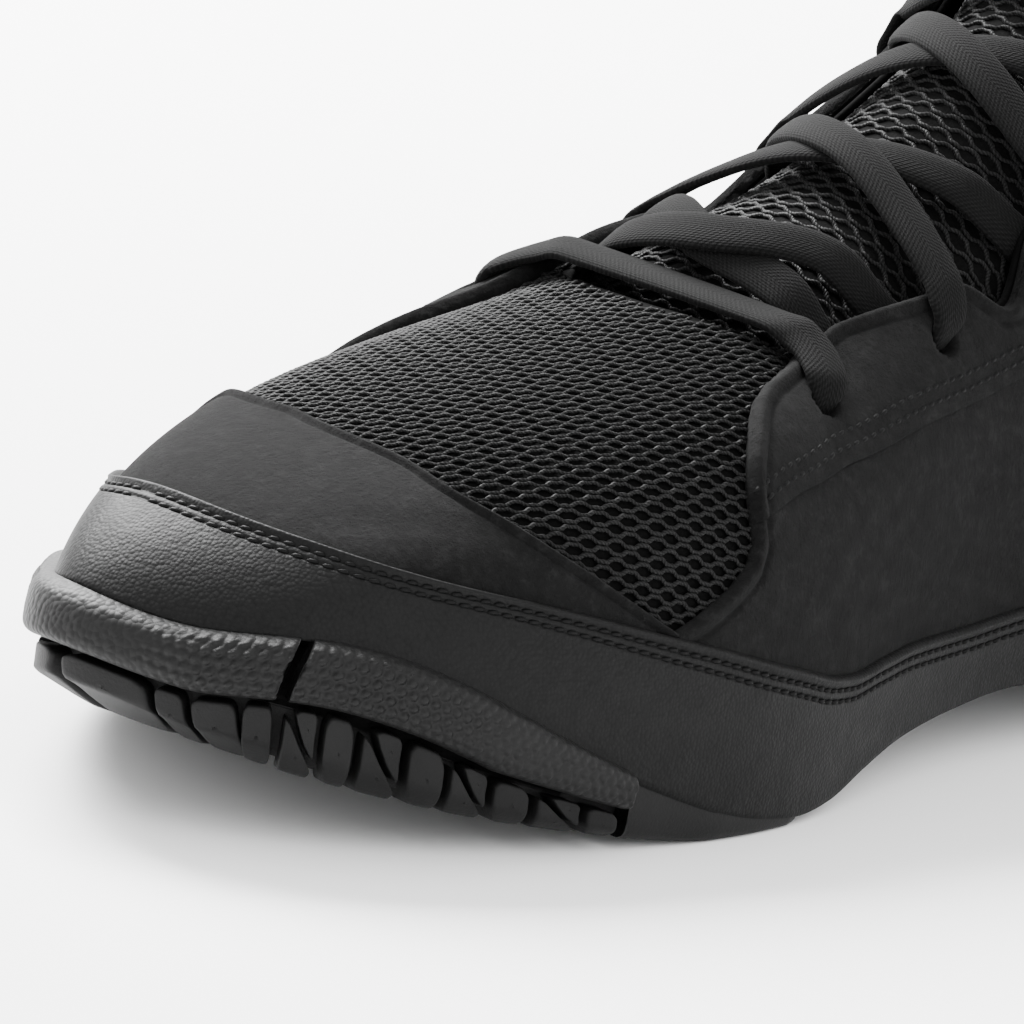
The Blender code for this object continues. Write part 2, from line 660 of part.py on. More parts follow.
medial_ribs, lateral_ribs = rear_pairs(HEEL_FRONT * LENGTH)
ribs, way = pair_ring(medial_ribs, lateral_ribs, -1.0)
height = low_line(ribs)[:, 2] - 2 * GAP - SHANK_THICK
rings = [
    ring_at(ribs, way, 0 * height, -.0060),
    ring_at(ribs, way, 0 * height, -.0006),
    ring_at(ribs, way, 0 * height + .0016, FLUSH - .0002),
    ring_at(ribs, way, height * .55, FLUSH + .0004),
    ring_at(ribs, way, height - .0005, FLUSH),
    ring_at(ribs, way, height, FLUSH - .0006),
    ring_at(ribs, way, height, -.0060),
]
plate("outsole_heel", rings, outsole_rubber)

# Tongue.
bulge_height = open_curve([0, 4.0, 4.8, 5.4, 6.0, 7.0, 8.0, 9.0],
                          np.array([.02, .03, .14, .23, .27, .29, .25, .20]) * THROAT_GAP)


def middle(s):
    return (top_line(s) + top_line(-s)) / 2


def bulge_way(s):
    """The direction in which the tongue swells: square to its width and to its run."""
    s = np.asarray(s, float)
    run = middle(np.minimum(s + .06, 9.0)) - middle(np.minimum(s - .06, 8.88))
    across = top_line(-s) - top_line(s)
    return unit(np.cross(run, across))


TUCK = -(WALL + .0009)
rows = np.array([.7, 1.6, 2.5, 3.3, 4.0, 4.7, 5.3, 5.9, 6.5, 7.1, 7.7, 8.3, 8.7, 9.0])
insets = np.array([TONGUE_TUCK, .0075, .0015])
grid = np.zeros((len(rows) + 1, 9, 3))
for k, inset in enumerate(insets):
    for column, sign in ((k, 1), (8 - k, -1)):
        share = share_from_top(sign * rows, np.full(rows.shape, inset))
        grid[:-1, column] = skin(sign * rows, share, np.full(rows.shape, TUCK))
for k, place in ((3, .25), (4, .5), (5, .75)):
    chord = grid[:-1, 2] * (1 - place) + grid[:-1, 6] * place
    rise = bulge_height(rows) * 4 * place * (1 - place)
    grid[:-1, k] = chord + bulge_way(rows) * rise[:, None]
top_way = unit(middle(9.0) - middle(8.9))
grid[-1] = grid[-2] + top_way * .012
round_way = np.gradient(grid, axis=1)
up_way = np.gradient(grid, axis=0)
inner = grid - unit(np.cross(up_way, round_way)) * TONGUE_THICK
slab("tongue", grid, inner, tongue_cloth)


# Laces.
def bridge(s, x, lift):
    """A point over the throat: x runs from the medial edge (-1) to the lateral edge (1).

    Past either edge it stays over the eyestay, by 10 mm for each unit of x.
    """
    s, x = np.broadcast_arrays(np.asarray(s, float), np.asarray(x, float))
    base = GAP + EYESTAY_THICK + LACE_THICK / 2 + lift
    place = np.clip((x + 1) / 2, 0, 1)
    past = np.maximum(np.abs(x) - 1, 0) * .010
    ends = []
    for sign in (1, -1):
        share = share_from_top(sign * s, past)
        ends.append(skin(sign * s, share, base + 0 * past))
    rise = (bulge_height(s) - .0012) * 4 * place * (1 - place)
    return ends[0] * (1 - place)[..., None] + ends[1] * place[..., None] + bulge_way(s) * rise[..., None]


def ribbon(name, rib_places, xs, lift):
    """A flat lace strand that follows the bridge, as a closed solid."""
    centre = bridge(rib_places, xs, lift)
    way = unit(np.gradient(centre, axis=0))
    across = bridge(rib_places + .03, xs, lift) - centre
    across = unit(across - (across * way).sum(-1, keepdims=True) * way)
    over = np.cross(way, across)
    over = over * np.sign((over * bulge_way(rib_places)).sum(-1, keepdims=True))
    half_w, half_t = across * LACE_WIDTH / 2, over * LACE_THICK / 2
    corners = np.stack([centre - half_w - half_t, centre + half_w - half_t,
                        centre + half_w + half_t, centre - half_w + half_t], 1)
    points = corners.reshape(-1, 3)
    faces = [(0, 1, 2, 3), tuple(range(len(points) - 1, len(points) - 5, -1))]
    for i in range(len(centre) - 1):
        for k in range(4):
            a, b = 4 * i + k, 4 * i + (k + 1) % 4
            faces.append((a, b, b + 4, a + 4))
    return add_object(name, points, faces, lace_cloth, smooth=False)


reach = 1 + EYELETS[0].inset / .010
xs = np.array([-reach, -1.6, -1.0, -.6, -.2, .2, .6, 1.0, 1.6, reach])
ribbon("lace_bar", np.full(xs.shape, EYELETS[0].rib), xs, .0010)

STRAND_ENDS = [(4.75, 5.18)] + [(EYELETS[k].rib + .17, EYELETS[k + 1].rib - .17) for k in range(1, 5)]
STRAND_ENDS[-1] = (EYELETS[4].rib + .12, EYELETS[5].rib - .08)
STRAND_LIFT = [.0008, .0008, .0010, .0013, .0013]
xs = np.linspace(-1.06, 1.06, 8)
for index, (start, end) in enumerate(STRAND_ENDS):
    arch = .0008 * (1 - (xs / 1.06) ** 2)
    rising = start + (end - start) * (xs + 1.06) / 2.12
    falling = rising[::-1]
    over, beneath = (falling, rising) if index == 0 else (rising, falling)
    lift = STRAND_LIFT[index]
    cross = ribbon("lace_cross_%d" % (index + 1), beneath, xs, lift)
    other = ribbon("lace_over_tool_%d" % (index + 1), over, xs, lift + arch)
    other.hide_render = True
    other.display_type = "WIRE"
    join = cross.modifiers.new("join", "BOOLEAN")
    join.operation = "UNION"
    join.solver = "EXACT"
    join.object = other
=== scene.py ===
# %% [markdown]
# # A black high-top wrestling shoe
#
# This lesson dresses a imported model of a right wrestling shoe: mesh vamp, suede panels, a rand that
# wraps the foot, a split rubber sole and flat laces. Everything is in metres. The toe points to -X,
# the medial side, which faces the camera, is at -Y, and the floor is z = 0.

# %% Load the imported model
import math

import bpy
import numpy as np
from mathutils import Matrix, Vector


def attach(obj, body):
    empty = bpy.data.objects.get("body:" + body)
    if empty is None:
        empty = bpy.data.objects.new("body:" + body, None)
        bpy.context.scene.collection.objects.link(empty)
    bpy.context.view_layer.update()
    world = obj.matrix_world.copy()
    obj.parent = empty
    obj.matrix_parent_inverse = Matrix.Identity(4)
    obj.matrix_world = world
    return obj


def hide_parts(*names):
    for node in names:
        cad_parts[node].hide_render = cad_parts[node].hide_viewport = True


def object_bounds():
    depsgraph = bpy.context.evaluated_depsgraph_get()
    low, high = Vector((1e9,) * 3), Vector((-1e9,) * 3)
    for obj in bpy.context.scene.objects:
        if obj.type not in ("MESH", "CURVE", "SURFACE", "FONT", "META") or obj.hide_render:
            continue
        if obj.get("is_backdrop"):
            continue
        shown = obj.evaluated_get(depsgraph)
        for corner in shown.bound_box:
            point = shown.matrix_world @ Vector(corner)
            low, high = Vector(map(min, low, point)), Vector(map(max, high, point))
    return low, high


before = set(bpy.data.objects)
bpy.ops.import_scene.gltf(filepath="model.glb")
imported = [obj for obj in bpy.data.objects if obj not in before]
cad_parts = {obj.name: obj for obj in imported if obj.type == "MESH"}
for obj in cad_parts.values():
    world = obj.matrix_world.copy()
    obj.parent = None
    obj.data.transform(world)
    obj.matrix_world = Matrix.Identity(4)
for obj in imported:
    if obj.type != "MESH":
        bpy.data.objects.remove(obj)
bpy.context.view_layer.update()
MM = 0.001
print("nodes:", sorted(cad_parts))

# %% [markdown]
# ## The last
#
# A shoe is made round a last, and every panel of it follows the last's skin. So one function gives
# the skin, and each piece only says which part of it it covers and how far off it lies. The skin is
# a set of ribs: each starts at the sole's edge and runs up and over to the throat or the collar.
# A table keeps one rib per row, in shares of a few named sizes, and smooth curves join the rows.

# %% Sizes and ribs of the last
LENGTH, BALL_WIDTH = 285 * MM, 94 * MM
THROAT_GAP, COLLAR_WIDTH = 44 * MM, 62 * MM
THROAT_HEIGHT, SHAFT_HEIGHT = 59.5 * MM, 150 * MM
EDGE_HEIGHT, TOE_SPRING = 20.5 * MM, 15.5 * MM
BAND = 25 * MM
WALL = 2.0 * MM
ORIGIN = np.array([0.305 * LENGTH, 0.0, 0.0])
UP = np.array([0.0, 0.0, 1.0])

RIB_COLUMNS = "along out edge_along edge_gap edge_collar edge_up rise lean spread drop low top".split()
RIBS = np.array([
    [.005, -.030, .372, .00, 0, .000, .61, -.010, .55, .31, .30, 1.02],
    [.019, -.205, .373, -.27, 0, .000, .60, -.005, .51, .29, .26, .95],
    [.063, -.352, .377, -.55, 0, -.004, .58, .010, .40, .24, .38, .93],
    [.158, -.458, .383, -.75, 0, -.012, .55, .020, .30, .16, .27, .98],
    [.288, -.489, .393, -.92, 0, -.020, .50, .025, .20, .12, -.03, .79],
    [.393, -.420, .437, -1.02, 0, .022, .46, .020, .15, .14, -.13, .50],
    [.509, -.330, .512, -1.045, 0, .083, .42, .040, .09, .20, -.135, .33],
    [.625, -.300, .596, -1.0, 0, .238, .40, .070, .09, .28, -.135, .42],
    [.719, -.319, .663, -.93, 0, .503, .38, .070, .08, .32, -.135, .54],
    [.807, -.346, .700, -.30, -.40, 1.00, .36, .050, .06, .36, -.135, .66],
    [.898, -.330, .825, 0, -.98, 1.01, .36, .050, .02, .36, -.135, .74],
    [.968, -.197, .933, 0, -.62, 1.02, .38, .060, -.04, .36, -.135, .78],
    [.989, .000, .970, 0, .00, 1.02, .38, .060, -.05, .36, -.135, .80],
    [.968, .197, .933, 0, .62, 1.02, .38, .060, -.04, .36, -.135, .78],
    [.898, .340, .825, 0, .98, 1.01, .36, .050, .02, .36, -.135, .74],
    [.807, .367, .700, .30, .40, 1.00, .36, .050, .06, .36, -.135, .66],
    [.719, .378, .663, .93, 0, .503, .38, .050, .08, .32, -.135, .58],
    [.625, .404, .596, 1.0, 0, .238, .40, .045, .10, .28, -.135, .54],
    [.509, .441, .512, 1.045, 0, .083, .42, .030, .13, .22, -.135, .54],
    [.404, .489, .437, 1.02, 0, .030, .46, .020, .17, .14, -.13, .64],
    [.305, .508, .394, .92, 0, -.006, .48, .015, .24, .12, -.03, .82],
    [.200, .430, .384, .75, 0, -.006, .47, .010, .31, .24, .27, .96],
    [.110, .275, .377, .55, 0, -.002, .51, .000, .40, .30, .38, .96],
    [.040, .100, .373, .27, 0, .000, .58, -.005, .49, .33, .28, 1.00],
])
COUNT, HALF = len(RIBS), len(RIBS) // 2
SIDE_VIEW = np.array([   # along, tread height / TOE_SPRING, edge height / EDGE_HEIGHT
    [.000, 1.00, 1.000], [.026, .790, .960], [.049, .670, .900], [.098, .465, .707], [.140, .315, .527],
    [.175, .215, .400], [.211, .120, .302], [.246, .040, .238], [.274, .000, .200], [.298, .000, .185],
    [.333, .000, .185], [.368, .000, .244], [.404, .000, .390], [.439, .000, .512], [.491, .000, .600],
    [.551, .000, .659], [.632, .000, .659], [.719, .000, .600], [1.00, .000, .600],
])
print("ribs:", RIBS.shape, "stations:", SIDE_VIEW.shape)


# %% Smooth curves through tables
def closed_curve(values):
    """Periodic cubic spline through one value per rib.

    The slopes m solve 4 m_i + m_(i-1) + m_(i+1) = 3 (y_(i+1) - y_(i-1)).
    """
    count = len(values)
    matrix = 4 * np.eye(count) + np.roll(np.eye(count), 1, 0) + np.roll(np.eye(count), -1, 0)
    slopes = np.linalg.solve(matrix, 3 * (np.roll(values, -1) - np.roll(values, 1)))

    def at(s):
        s = np.asarray(s, float) % count
        i = np.floor(s).astype(int) % count
        j, u = (i + 1) % count, s - np.floor(s)
        return (values[i] * (1 + 2 * u) * (1 - u) ** 2 + values[j] * u * u * (3 - 2 * u)
                + slopes[i] * u * (1 - u) ** 2 - slopes[j] * u * u * (1 - u))

    return at


def open_curve(x, y):
    """Monotone cubic through the points (x, y): each slope is the weighted harmonic mean of its chords."""
    x, y = np.asarray(x, float), np.asarray(y, float)
    h, d = np.diff(x), np.diff(y) / np.diff(x)
    w1, w2 = 2 * h[1:] + h[:-1], h[1:] + 2 * h[:-1]
    same = d[:-1] * d[1:] > 0
    safe = np.where(same, d[:-1] * d[1:], 1.0)
    inner = np.where(same, (w1 + w2) * safe / (w1 * d[1:] + w2 * d[:-1] + (~same)), 0.0)
    m = np.concatenate([[d[0]], inner, [d[-1]]])

    def at(v):
        v = np.clip(np.asarray(v, float), x[0], x[-1])
        i = np.clip(np.searchsorted(x, v) - 1, 0, len(h) - 1)
        u = (v - x[i]) / h[i]
        return (y[i] * (1 + 2 * u) * (1 - u) ** 2 + y[i + 1] * u * u * (3 - 2 * u)
                + h[i] * (m[i] * u * (1 - u) ** 2 - m[i + 1] * u * u * (1 - u)))

    return at


CURVES = {name: closed_curve(RIBS[:, k]) for k, name in enumerate(RIB_COLUMNS)}
tread_height = open_curve(SIDE_VIEW[:, 0] * LENGTH, SIDE_VIEW[:, 1] * TOE_SPRING)
edge_height = open_curve(SIDE_VIEW[:, 0] * LENGTH, SIDE_VIEW[:, 2] * EDGE_HEIGHT)
print("sole edge at the ball: %.1f mm up" % (edge_height(0.3 * LENGTH) / MM))


# %% The skin of the last
def unit(v):
    return v / np.maximum(np.linalg.norm(v, axis=-1, keepdims=True), 1e-12)


def run_along(path, axis=0):
    """Distance from the start at each point of a row of points."""
    steps = np.linalg.norm(np.diff(path, axis=axis), axis=-1).cumsum(axis)
    return np.concatenate([np.zeros_like(np.take(steps, [0], axis)), steps], axis)


def low_line(s):
    """The sole's edge at rib s."""
    along = CURVES["along"](s) * LENGTH
    return np.stack([along, CURVES["out"](s) * BALL_WIDTH, edge_height(along)], -1)


def top_line(s):
    """The throat edge and the collar at rib s."""
    out = CURVES["edge_gap"](s) * THROAT_GAP / 2 + CURVES["edge_collar"](s) * COLLAR_WIDTH / 2
    up = THROAT_HEIGHT + CURVES["edge_up"](s) * (SHAFT_HEIGHT - THROAT_HEIGHT)
    return np.stack([CURVES["edge_along"](s) * LENGTH, out, up], -1)


def outward(s):
    """Level unit vector out of the outline: the sole edge's direction turned a quarter."""
    way = low_line(s + 1e-3) - low_line(s - 1e-3)
    return unit(np.stack([way[..., 1], -way[..., 0], 0 * way[..., 0]], -1))


def skin(s, t, lift=0.0):
    """Point at share t of the cubic Bezier rib s, pushed out by lift along the cross product of both ways."""
    s, t = np.broadcast_arrays(np.asarray(s, float), np.asarray(t, float))

    def bare(s, t):
        low, high, out = low_line(s), top_line(s), outward(s)
        tall = (high - low)[..., 2:3]
        p1 = low + CURVES["rise"](s)[..., None] * tall * UP + CURVES["lean"](s)[..., None] * BALL_WIDTH * out
        p2 = high + CURVES["spread"](s)[..., None] * BALL_WIDTH * out
        p2 = p2 - CURVES["drop"](s)[..., None] * tall * UP
        t = t[..., None]
        return (1 - t) ** 3 * low + 3 * (1 - t) ** 2 * t * p1 + 3 * (1 - t) * t ** 2 * p2 + t ** 3 * high

    step = 1e-3
    round_way = bare(s + step, t) - bare(s - step, t)
    up_way = bare(s, np.clip(t + step, 0, 1)) - bare(s, np.clip(t - step, 0, 1))
    return bare(s, t) + unit(np.cross(round_way, up_way)) * np.asarray(lift)[..., None]


# Distances along the ribs, and their inverse, on a fine table that is read with two-way linear blending.
S_TABLE, Q_TABLE = np.linspace(0, COUNT, 40 * COUNT + 1), np.linspace(0, 1, 161)
table_runs = run_along(skin(S_TABLE[:, None], Q_TABLE[None]), 1)
RIB_LENGTHS = table_runs[:, -1]
SHARES = np.array([np.interp(Q_TABLE * r[-1], r, Q_TABLE) for r in table_runs])
RUNS = table_runs / RIB_LENGTHS[:, None]


def blend_table(table, s, q):
    """Value of a table at rib s and place q along it."""
    x = (np.asarray(s, float) % COUNT) * 40
    y = np.clip(q, 0, 1) * 160
    i, j = np.floor(x).astype(int), np.minimum(np.floor(y).astype(int), 159)
    a, b = x - i, y - j
    i2 = np.minimum(i + 1, len(S_TABLE) - 1)
    return ((1 - a) * ((1 - b) * table[i, j] + b * table[i, j + 1])
            + a * ((1 - b) * table[i2, j] + b * table[i2, j + 1]))


def rib_length(s):
    return np.interp(np.asarray(s, float) % COUNT, S_TABLE, RIB_LENGTHS)


def share_at(s, run):
    """Share of rib s at a distance from the sole's edge."""
    return blend_table(SHARES, s, run / rib_length(s))


def share_from_top(s, inset):
    return blend_table(SHARES, s, 1 - inset / rib_length(s))


def run_at(s, t):
    return blend_table(RUNS, s, t) * rib_length(s)


def skin_run(s, run, lift=0.0):
    """The skin by distance from the sole's edge; below the edge it goes straight down."""
    s, run, lift = np.broadcast_arrays(np.asarray(s, float), np.asarray(run, float), np.asarray(lift, float))
    share = share_at(s, np.maximum(run, 0))
    above = skin(s, share, lift)
    below = low_line(s) + outward(s) * lift[..., None]
    return np.where((run < 0)[..., None], below, above) + np.minimum(run, 0)[..., None] * UP


NOTCH_RIB, NOTCH_HALF, NOTCH_DEPTH = 6.10, 0.36, 6.5 * MM


def side_rib(s):
    s = np.asarray(s, float) % COUNT
    return np.where(s > HALF, COUNT - s, s)


def edge_share(s):
    """Share of rib s at the throat edge, which dips between two eyelets."""
    share = np.clip(np.abs(side_rib(s) - NOTCH_RIB) / NOTCH_HALF, 0, 1)
    return share_from_top(s, NOTCH_DEPTH * np.cos(share * math.pi / 2) ** 2)


print("rib lengths: %.0f to %.0f mm" % (RIB_LENGTHS.min() / MM, RIB_LENGTHS.max() / MM))

# %% [markdown]
# ## Making meshes and materials
#
# Every piece is one or more grids of points, worked out as whole arrays. Two helpers turn grids into
# faces and faces into an object, and one function adds a shader node with its values and links.


# %% Mesh helpers
def grid_faces(rows, columns, start=0, wrap_rows=False, wrap_columns=False):
    """Quads between neighbours in a grid whose point (i, j) has the number start + i * columns + j."""
    i = np.arange(rows if wrap_rows else rows - 1)[:, None]
    j = np.arange(columns if wrap_columns else columns - 1)[None]
    i2, j2 = (i + 1) % rows, (j + 1) % columns
    corners = i * columns + j, i2 * columns + j, i2 * columns + j2, i * columns + j2
    return np.stack(np.broadcast_arrays(*corners), -1).reshape(-1, 4) + start


def shell(outer, inner, wrap=False):
    """Points and quads of a sheet with a front, a back and the rims between them."""
    rows, columns = outer.shape[:2]
    back = rows * columns
    front = grid_faces(rows, columns, 0, wrap)
    rear = grid_faces(rows, columns, back, wrap)[:, ::-1]
    i = np.arange(rows if wrap else rows - 1)
    i2 = (i + 1) % rows
    rims = []
    for j, turn in ((0, 1), (columns - 1, -1)):
        a, b = i * columns + j, i2 * columns + j
        rims.append(np.stack([a, a + back, b + back, b], -1)[:, ::turn])
    if not wrap:
        j = np.arange(columns - 1)
        for i, turn in ((0, -1), (rows - 1, 1)):
            a = i * columns + j
            rims.append(np.stack([a, a + back, a + 1 + back, a + 1], -1)[:, ::turn])
    return np.concatenate([outer.reshape(-1, 3), inner.reshape(-1, 3)]), np.concatenate([front, rear] + rims)


def add_piece(name, points, faces, paint, replaced=(), uv=None, smooth=True):
    """Make an object that rides on the shoe. Points are in shoe measure, faces an array of quads."""
    points = np.asarray(points, float).reshape(-1, 3) - ORIGIN
    faces = np.asarray(faces, int)
    mesh = bpy.data.meshes.new(name)
    mesh.vertices.add(len(points))
    mesh.vertices.foreach_set("co", points.astype(np.float32).ravel())
    mesh.loops.add(faces.size)
    mesh.loops.foreach_set("vertex_index", faces.astype(np.int32).ravel())
    mesh.polygons.add(len(faces))
    mesh.polygons.foreach_set("loop_start", (np.arange(len(faces)) * faces.shape[1]).astype(np.int32))
    mesh.update(calc_edges=True)
    mesh.polygons.foreach_set("use_smooth", np.full(len(faces), smooth))
    if uv is not None:
        layer = mesh.uv_layers.new(name="UVMap")
        layer.data.foreach_set("uv", np.asarray(uv, float)[faces.ravel()].astype(np.float32).ravel())
    mesh.validate()
    item = bpy.data.objects.new(name, mesh)
    item.data.materials.append(paint)
    bpy.context.scene.collection.objects.link(item)
    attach(item, "root")
    if replaced:
        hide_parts(*replaced)
    print("%-22s %6d faces" % (name, len(faces)))
    return item


# %% Material helpers
def linear(code):
    """sRGB hex code to the linear colour that shaders use."""
    values = [int(code[k:k + 2], 16) / 255 for k in (1, 3, 5)]
    return tuple(v / 12.92 if v <= .04045 else ((v + .055) / 1.055) ** 2.4 for v in values) + (1.0,)


def add_node(tree, kind, inputs=None, **settings):
    """Add a node, set its settings, and give each input a value or a link from another node's socket."""
    made = tree.nodes.new("ShaderNode" + kind)
    for key, value in settings.items():
        setattr(made, key, value)
    for key, value in (inputs or {}).items():
        if isinstance(value, bpy.types.NodeSocket):
            tree.links.new(value, made.inputs[key])
        else:
            made.inputs[key].default_value = value
    return made


def new_material(name, **values):
    """A material with its Principled shader; the values go on the shader's own sockets."""
    made = bpy.data.materials.new(name)
    made.use_nodes = True
    shader = made.node_tree.nodes["Principled BSDF"]
    for key, value in values.items():
        shader.inputs[key.replace("_", " ").title().replace("Ior", "IOR")].default_value = value
    return made, made.node_tree, shader


def ramp(tree, value, stops):
    """A colour ramp through (place, hex code) stops."""
    made = add_node(tree, "ValToRGB", {"Fac": value})
    elements = made.color_ramp.elements
    while len(elements) < len(stops):
        elements.new(0.5)
    for element, (place, code) in zip(elements, stops):
        element.position = place
        element.color = linear(code)
    return made.outputs["Color"]


# %% [markdown]
# ## Finishes
#
# The shoe is black all over, so its parts are told apart by their surface: brushed suede, a smooth
# rand with a fine pebble, matt rubber, knitted yarn and woven lace. Each has its grain at real size.

# %% Suede, rand and rubber
# Microfibre suede is brushed, so its nap scatters light softly. Its base colour is the fine nap noise times a
# cloudy noise: lighter where the nap stands higher, a painted highlight on the raised nap, and lighter again
# in cloudy patches.
suede, tree, shader = new_material("brushed_microfibre_suede", roughness=.93, sheen_weight=.012,
                                   sheen_roughness=.45, specular_ior_level=.07)
place = add_node(tree, "TexCoord").outputs["Object"]
nap = add_node(tree, "TexNoise", {"Vector": place, "Scale": 1150.0, "Detail": 5.0, "Roughness": .8})
cloud = add_node(tree, "TexNoise", {"Vector": place, "Scale": 420.0, "Detail": 3.0, "Roughness": .6})
nap_highlight_and_cloud = add_node(tree, "Math", {0: nap.outputs["Fac"], 1: cloud.outputs["Fac"]}, operation="MULTIPLY")
tree.links.new(ramp(tree, nap_highlight_and_cloud.outputs[0], [(.12, "#070707"), (.26, "#0d0d0d"), (.44, "#191919")]),
               shader.inputs["Base Color"])
raised = add_node(tree, "Bump", {"Height": nap.outputs["Fac"], "Strength": 1.0, "Distance": .55 * MM})
tree.links.new(raised.outputs[0], shader.inputs["Normal"])

# The rand is a smooth synthetic leather with a fine pebble, about half a millimetre from cell to cell.
rand_leather, tree, shader = new_material("pebbled_synthetic_leather", roughness=.50, specular_ior_level=.09)
place = add_node(tree, "TexCoord").outputs["Object"]
cells = add_node(tree, "TexVoronoi", {"Vector": place, "Scale": 1750.0, "Randomness": .75})
fine = add_node(tree, "TexNoise", {"Vector": place, "Scale": 300.0, "Detail": 3.0})
# Painted shade: the base colour darkens from the middle of each pebble to the valleys between them, where the
# bump below sinks.
tree.links.new(ramp(tree, cells.outputs["Distance"], [(.0, "#0c0c0c"), (.6, "#080808"), (.9, "#040404")]),
               shader.inputs["Base Color"])
height = add_node(tree, "Math", {0: cells.outputs["Distance"], 1: -1.0}, operation="MULTIPLY")
height = add_node(tree, "Math", {0: height.outputs[0], 1: fine.outputs["Fac"]}, operation="ADD")
raised = add_node(tree, "Bump", {"Height": height.outputs[0], "Strength": .5, "Distance": .16 * MM})
tree.links.new(raised.outputs[0], shader.inputs["Normal"])
gloss = add_node(tree, "MapRange", {"Value": fine.outputs["Fac"], "To Min": .48, "To Max": .64})
tree.links.new(gloss.outputs[0], shader.inputs["Roughness"])

# Moulded rubber is matt with a spark-eroded mould texture.
rubber, tree, shader = new_material("moulded_sole_rubber", roughness=.58, specular_ior_level=.12)
place = add_node(tree, "TexCoord").outputs["Object"]
grain = add_node(tree, "TexNoise", {"Vector": place, "Scale": 2300.0, "Detail": 3.0, "Roughness": .7})
dust = add_node(tree, "TexNoise", {"Vector": place, "Scale": 90.0, "Detail": 4.0})
tree.links.new(ramp(tree, dust.outputs["Fac"], [(.35, "#0a0a0a"), (.65, "#101010")]),
               shader.inputs["Base Color"])
raised = add_node(tree, "Bump", {"Height": grain.outputs["Fac"], "Strength": .5, "Distance": .18 * MM})
tree.links.new(raised.outputs[0], shader.inputs["Normal"])

# The toe bumper's own mould has a leather-like pebble, one millimetre from cell to cell.
pebbled_rubber, tree, shader = new_material("pebbled_bumper_rubber", roughness=.55, specular_ior_level=.14,
                                            base_color=linear("#0d0d0d"))
place = add_node(tree, "TexCoord").outputs["Object"]
cells = add_node(tree, "TexVoronoi", {"Vector": place, "Scale": 1050.0, "Randomness": .8})
raised = add_node(tree, "Bump", {"Height": cells.outputs["Distance"], "Strength": .55, "Distance": .30 * MM},
                  invert=True)
tree.links.new(raised.outputs[0], shader.inputs["Normal"])
print("materials:", [m.name for m in bpy.data.materials])

# %% Yarn, lace, thread and linings
# Filament yarn shines a little along each twist, and here that shine is painted: the twist is drawn by a wave
# on the strand's own UV, which raises the bump and also makes the base colour lighter on each ridge and
# darker in each groove, a painted highlight and painted shade.
yarn, tree, shader = new_material("filament_mesh_yarn", roughness=.62, specular_ior_level=.07,
                                  sheen_weight=.01)
place = add_node(tree, "UVMap").outputs["UV"]
ply = add_node(tree, "TexWave", {"Vector": place, "Scale": 1.1, "Distortion": 1.5, "Detail": 1.0},
               bands_direction="DIAGONAL")
tree.links.new(ramp(tree, ply.outputs["Fac"], [(.1, "#0a0a0a"), (.9, "#1b1b1b")]),
               shader.inputs["Base Color"])
raised = add_node(tree, "Bump", {"Height": ply.outputs["Fac"], "Strength": .5, "Distance": .12 * MM})
tree.links.new(raised.outputs[0], shader.inputs["Normal"])

# A flat lace is woven in a fine herringbone: two sets of slanted ridges meet on its middle line.
lace_weave, tree, shader = new_material("woven_flat_lace", roughness=.88, specular_ior_level=.06,
                                        sheen_weight=.01)
place = add_node(tree, "UVMap").outputs["UV"]
parts = add_node(tree, "SeparateXYZ", {0: place})
across = add_node(tree, "Math", {0: parts.outputs["Y"]}, operation="ABSOLUTE")
slanted = add_node(tree, "Math", {0: across.outputs[0], 1: parts.outputs["X"]}, operation="ADD")
ridge = add_node(tree, "Math", {0: slanted.outputs[0], 1: 7.5}, operation="MULTIPLY")
ridge = add_node(tree, "Math", {0: ridge.outputs[0]}, operation="SINE")
threads = add_node(tree, "Math", {0: parts.outputs["Y"], 1: 16.0}, operation="MULTIPLY")
threads = add_node(tree, "Math", {0: threads.outputs[0]}, operation="SINE")
fuzz = add_node(tree, "TexNoise", {"Vector": place, "Scale": 2.6, "Detail": 4.0, "Roughness": .7})
both = add_node(tree, "Math", {0: ridge.outputs[0], 1: threads.outputs[0]}, operation="ADD")
both = add_node(tree, "Math", {0: both.outputs[0], 1: .18, 2: fuzz.outputs["Fac"]}, operation="MULTIPLY_ADD")
# Painted shade and painted highlight: the base colour follows the height of the weave, darker in its grooves
# and lighter on its ridges.
tree.links.new(ramp(tree, both.outputs[0], [(.15, "#040404"), (.55, "#090909"), (.95, "#121212")]),
               shader.inputs["Base Color"])
raised = add_node(tree, "Bump", {"Height": both.outputs[0], "Strength": .6, "Distance": .25 * MM})
tree.links.new(raised.outputs[0], shader.inputs["Normal"])

# Bonded sewing thread is smooth and slightly glossy.
thread, tree, shader = new_material("bonded_sewing_thread", roughness=.6, specular_ior_level=.08,
                                    base_color=linear("#070707"))
place = add_node(tree, "TexCoord").outputs["Object"]
twist = add_node(tree, "TexNoise", {"Vector": place, "Scale": 3500.0, "Detail": 2.0})
raised = add_node(tree, "Bump", {"Height": twist.outputs["Fac"], "Strength": .4, "Distance": .1 * MM})
tree.links.new(raised.outputs[0], shader.inputs["Normal"])


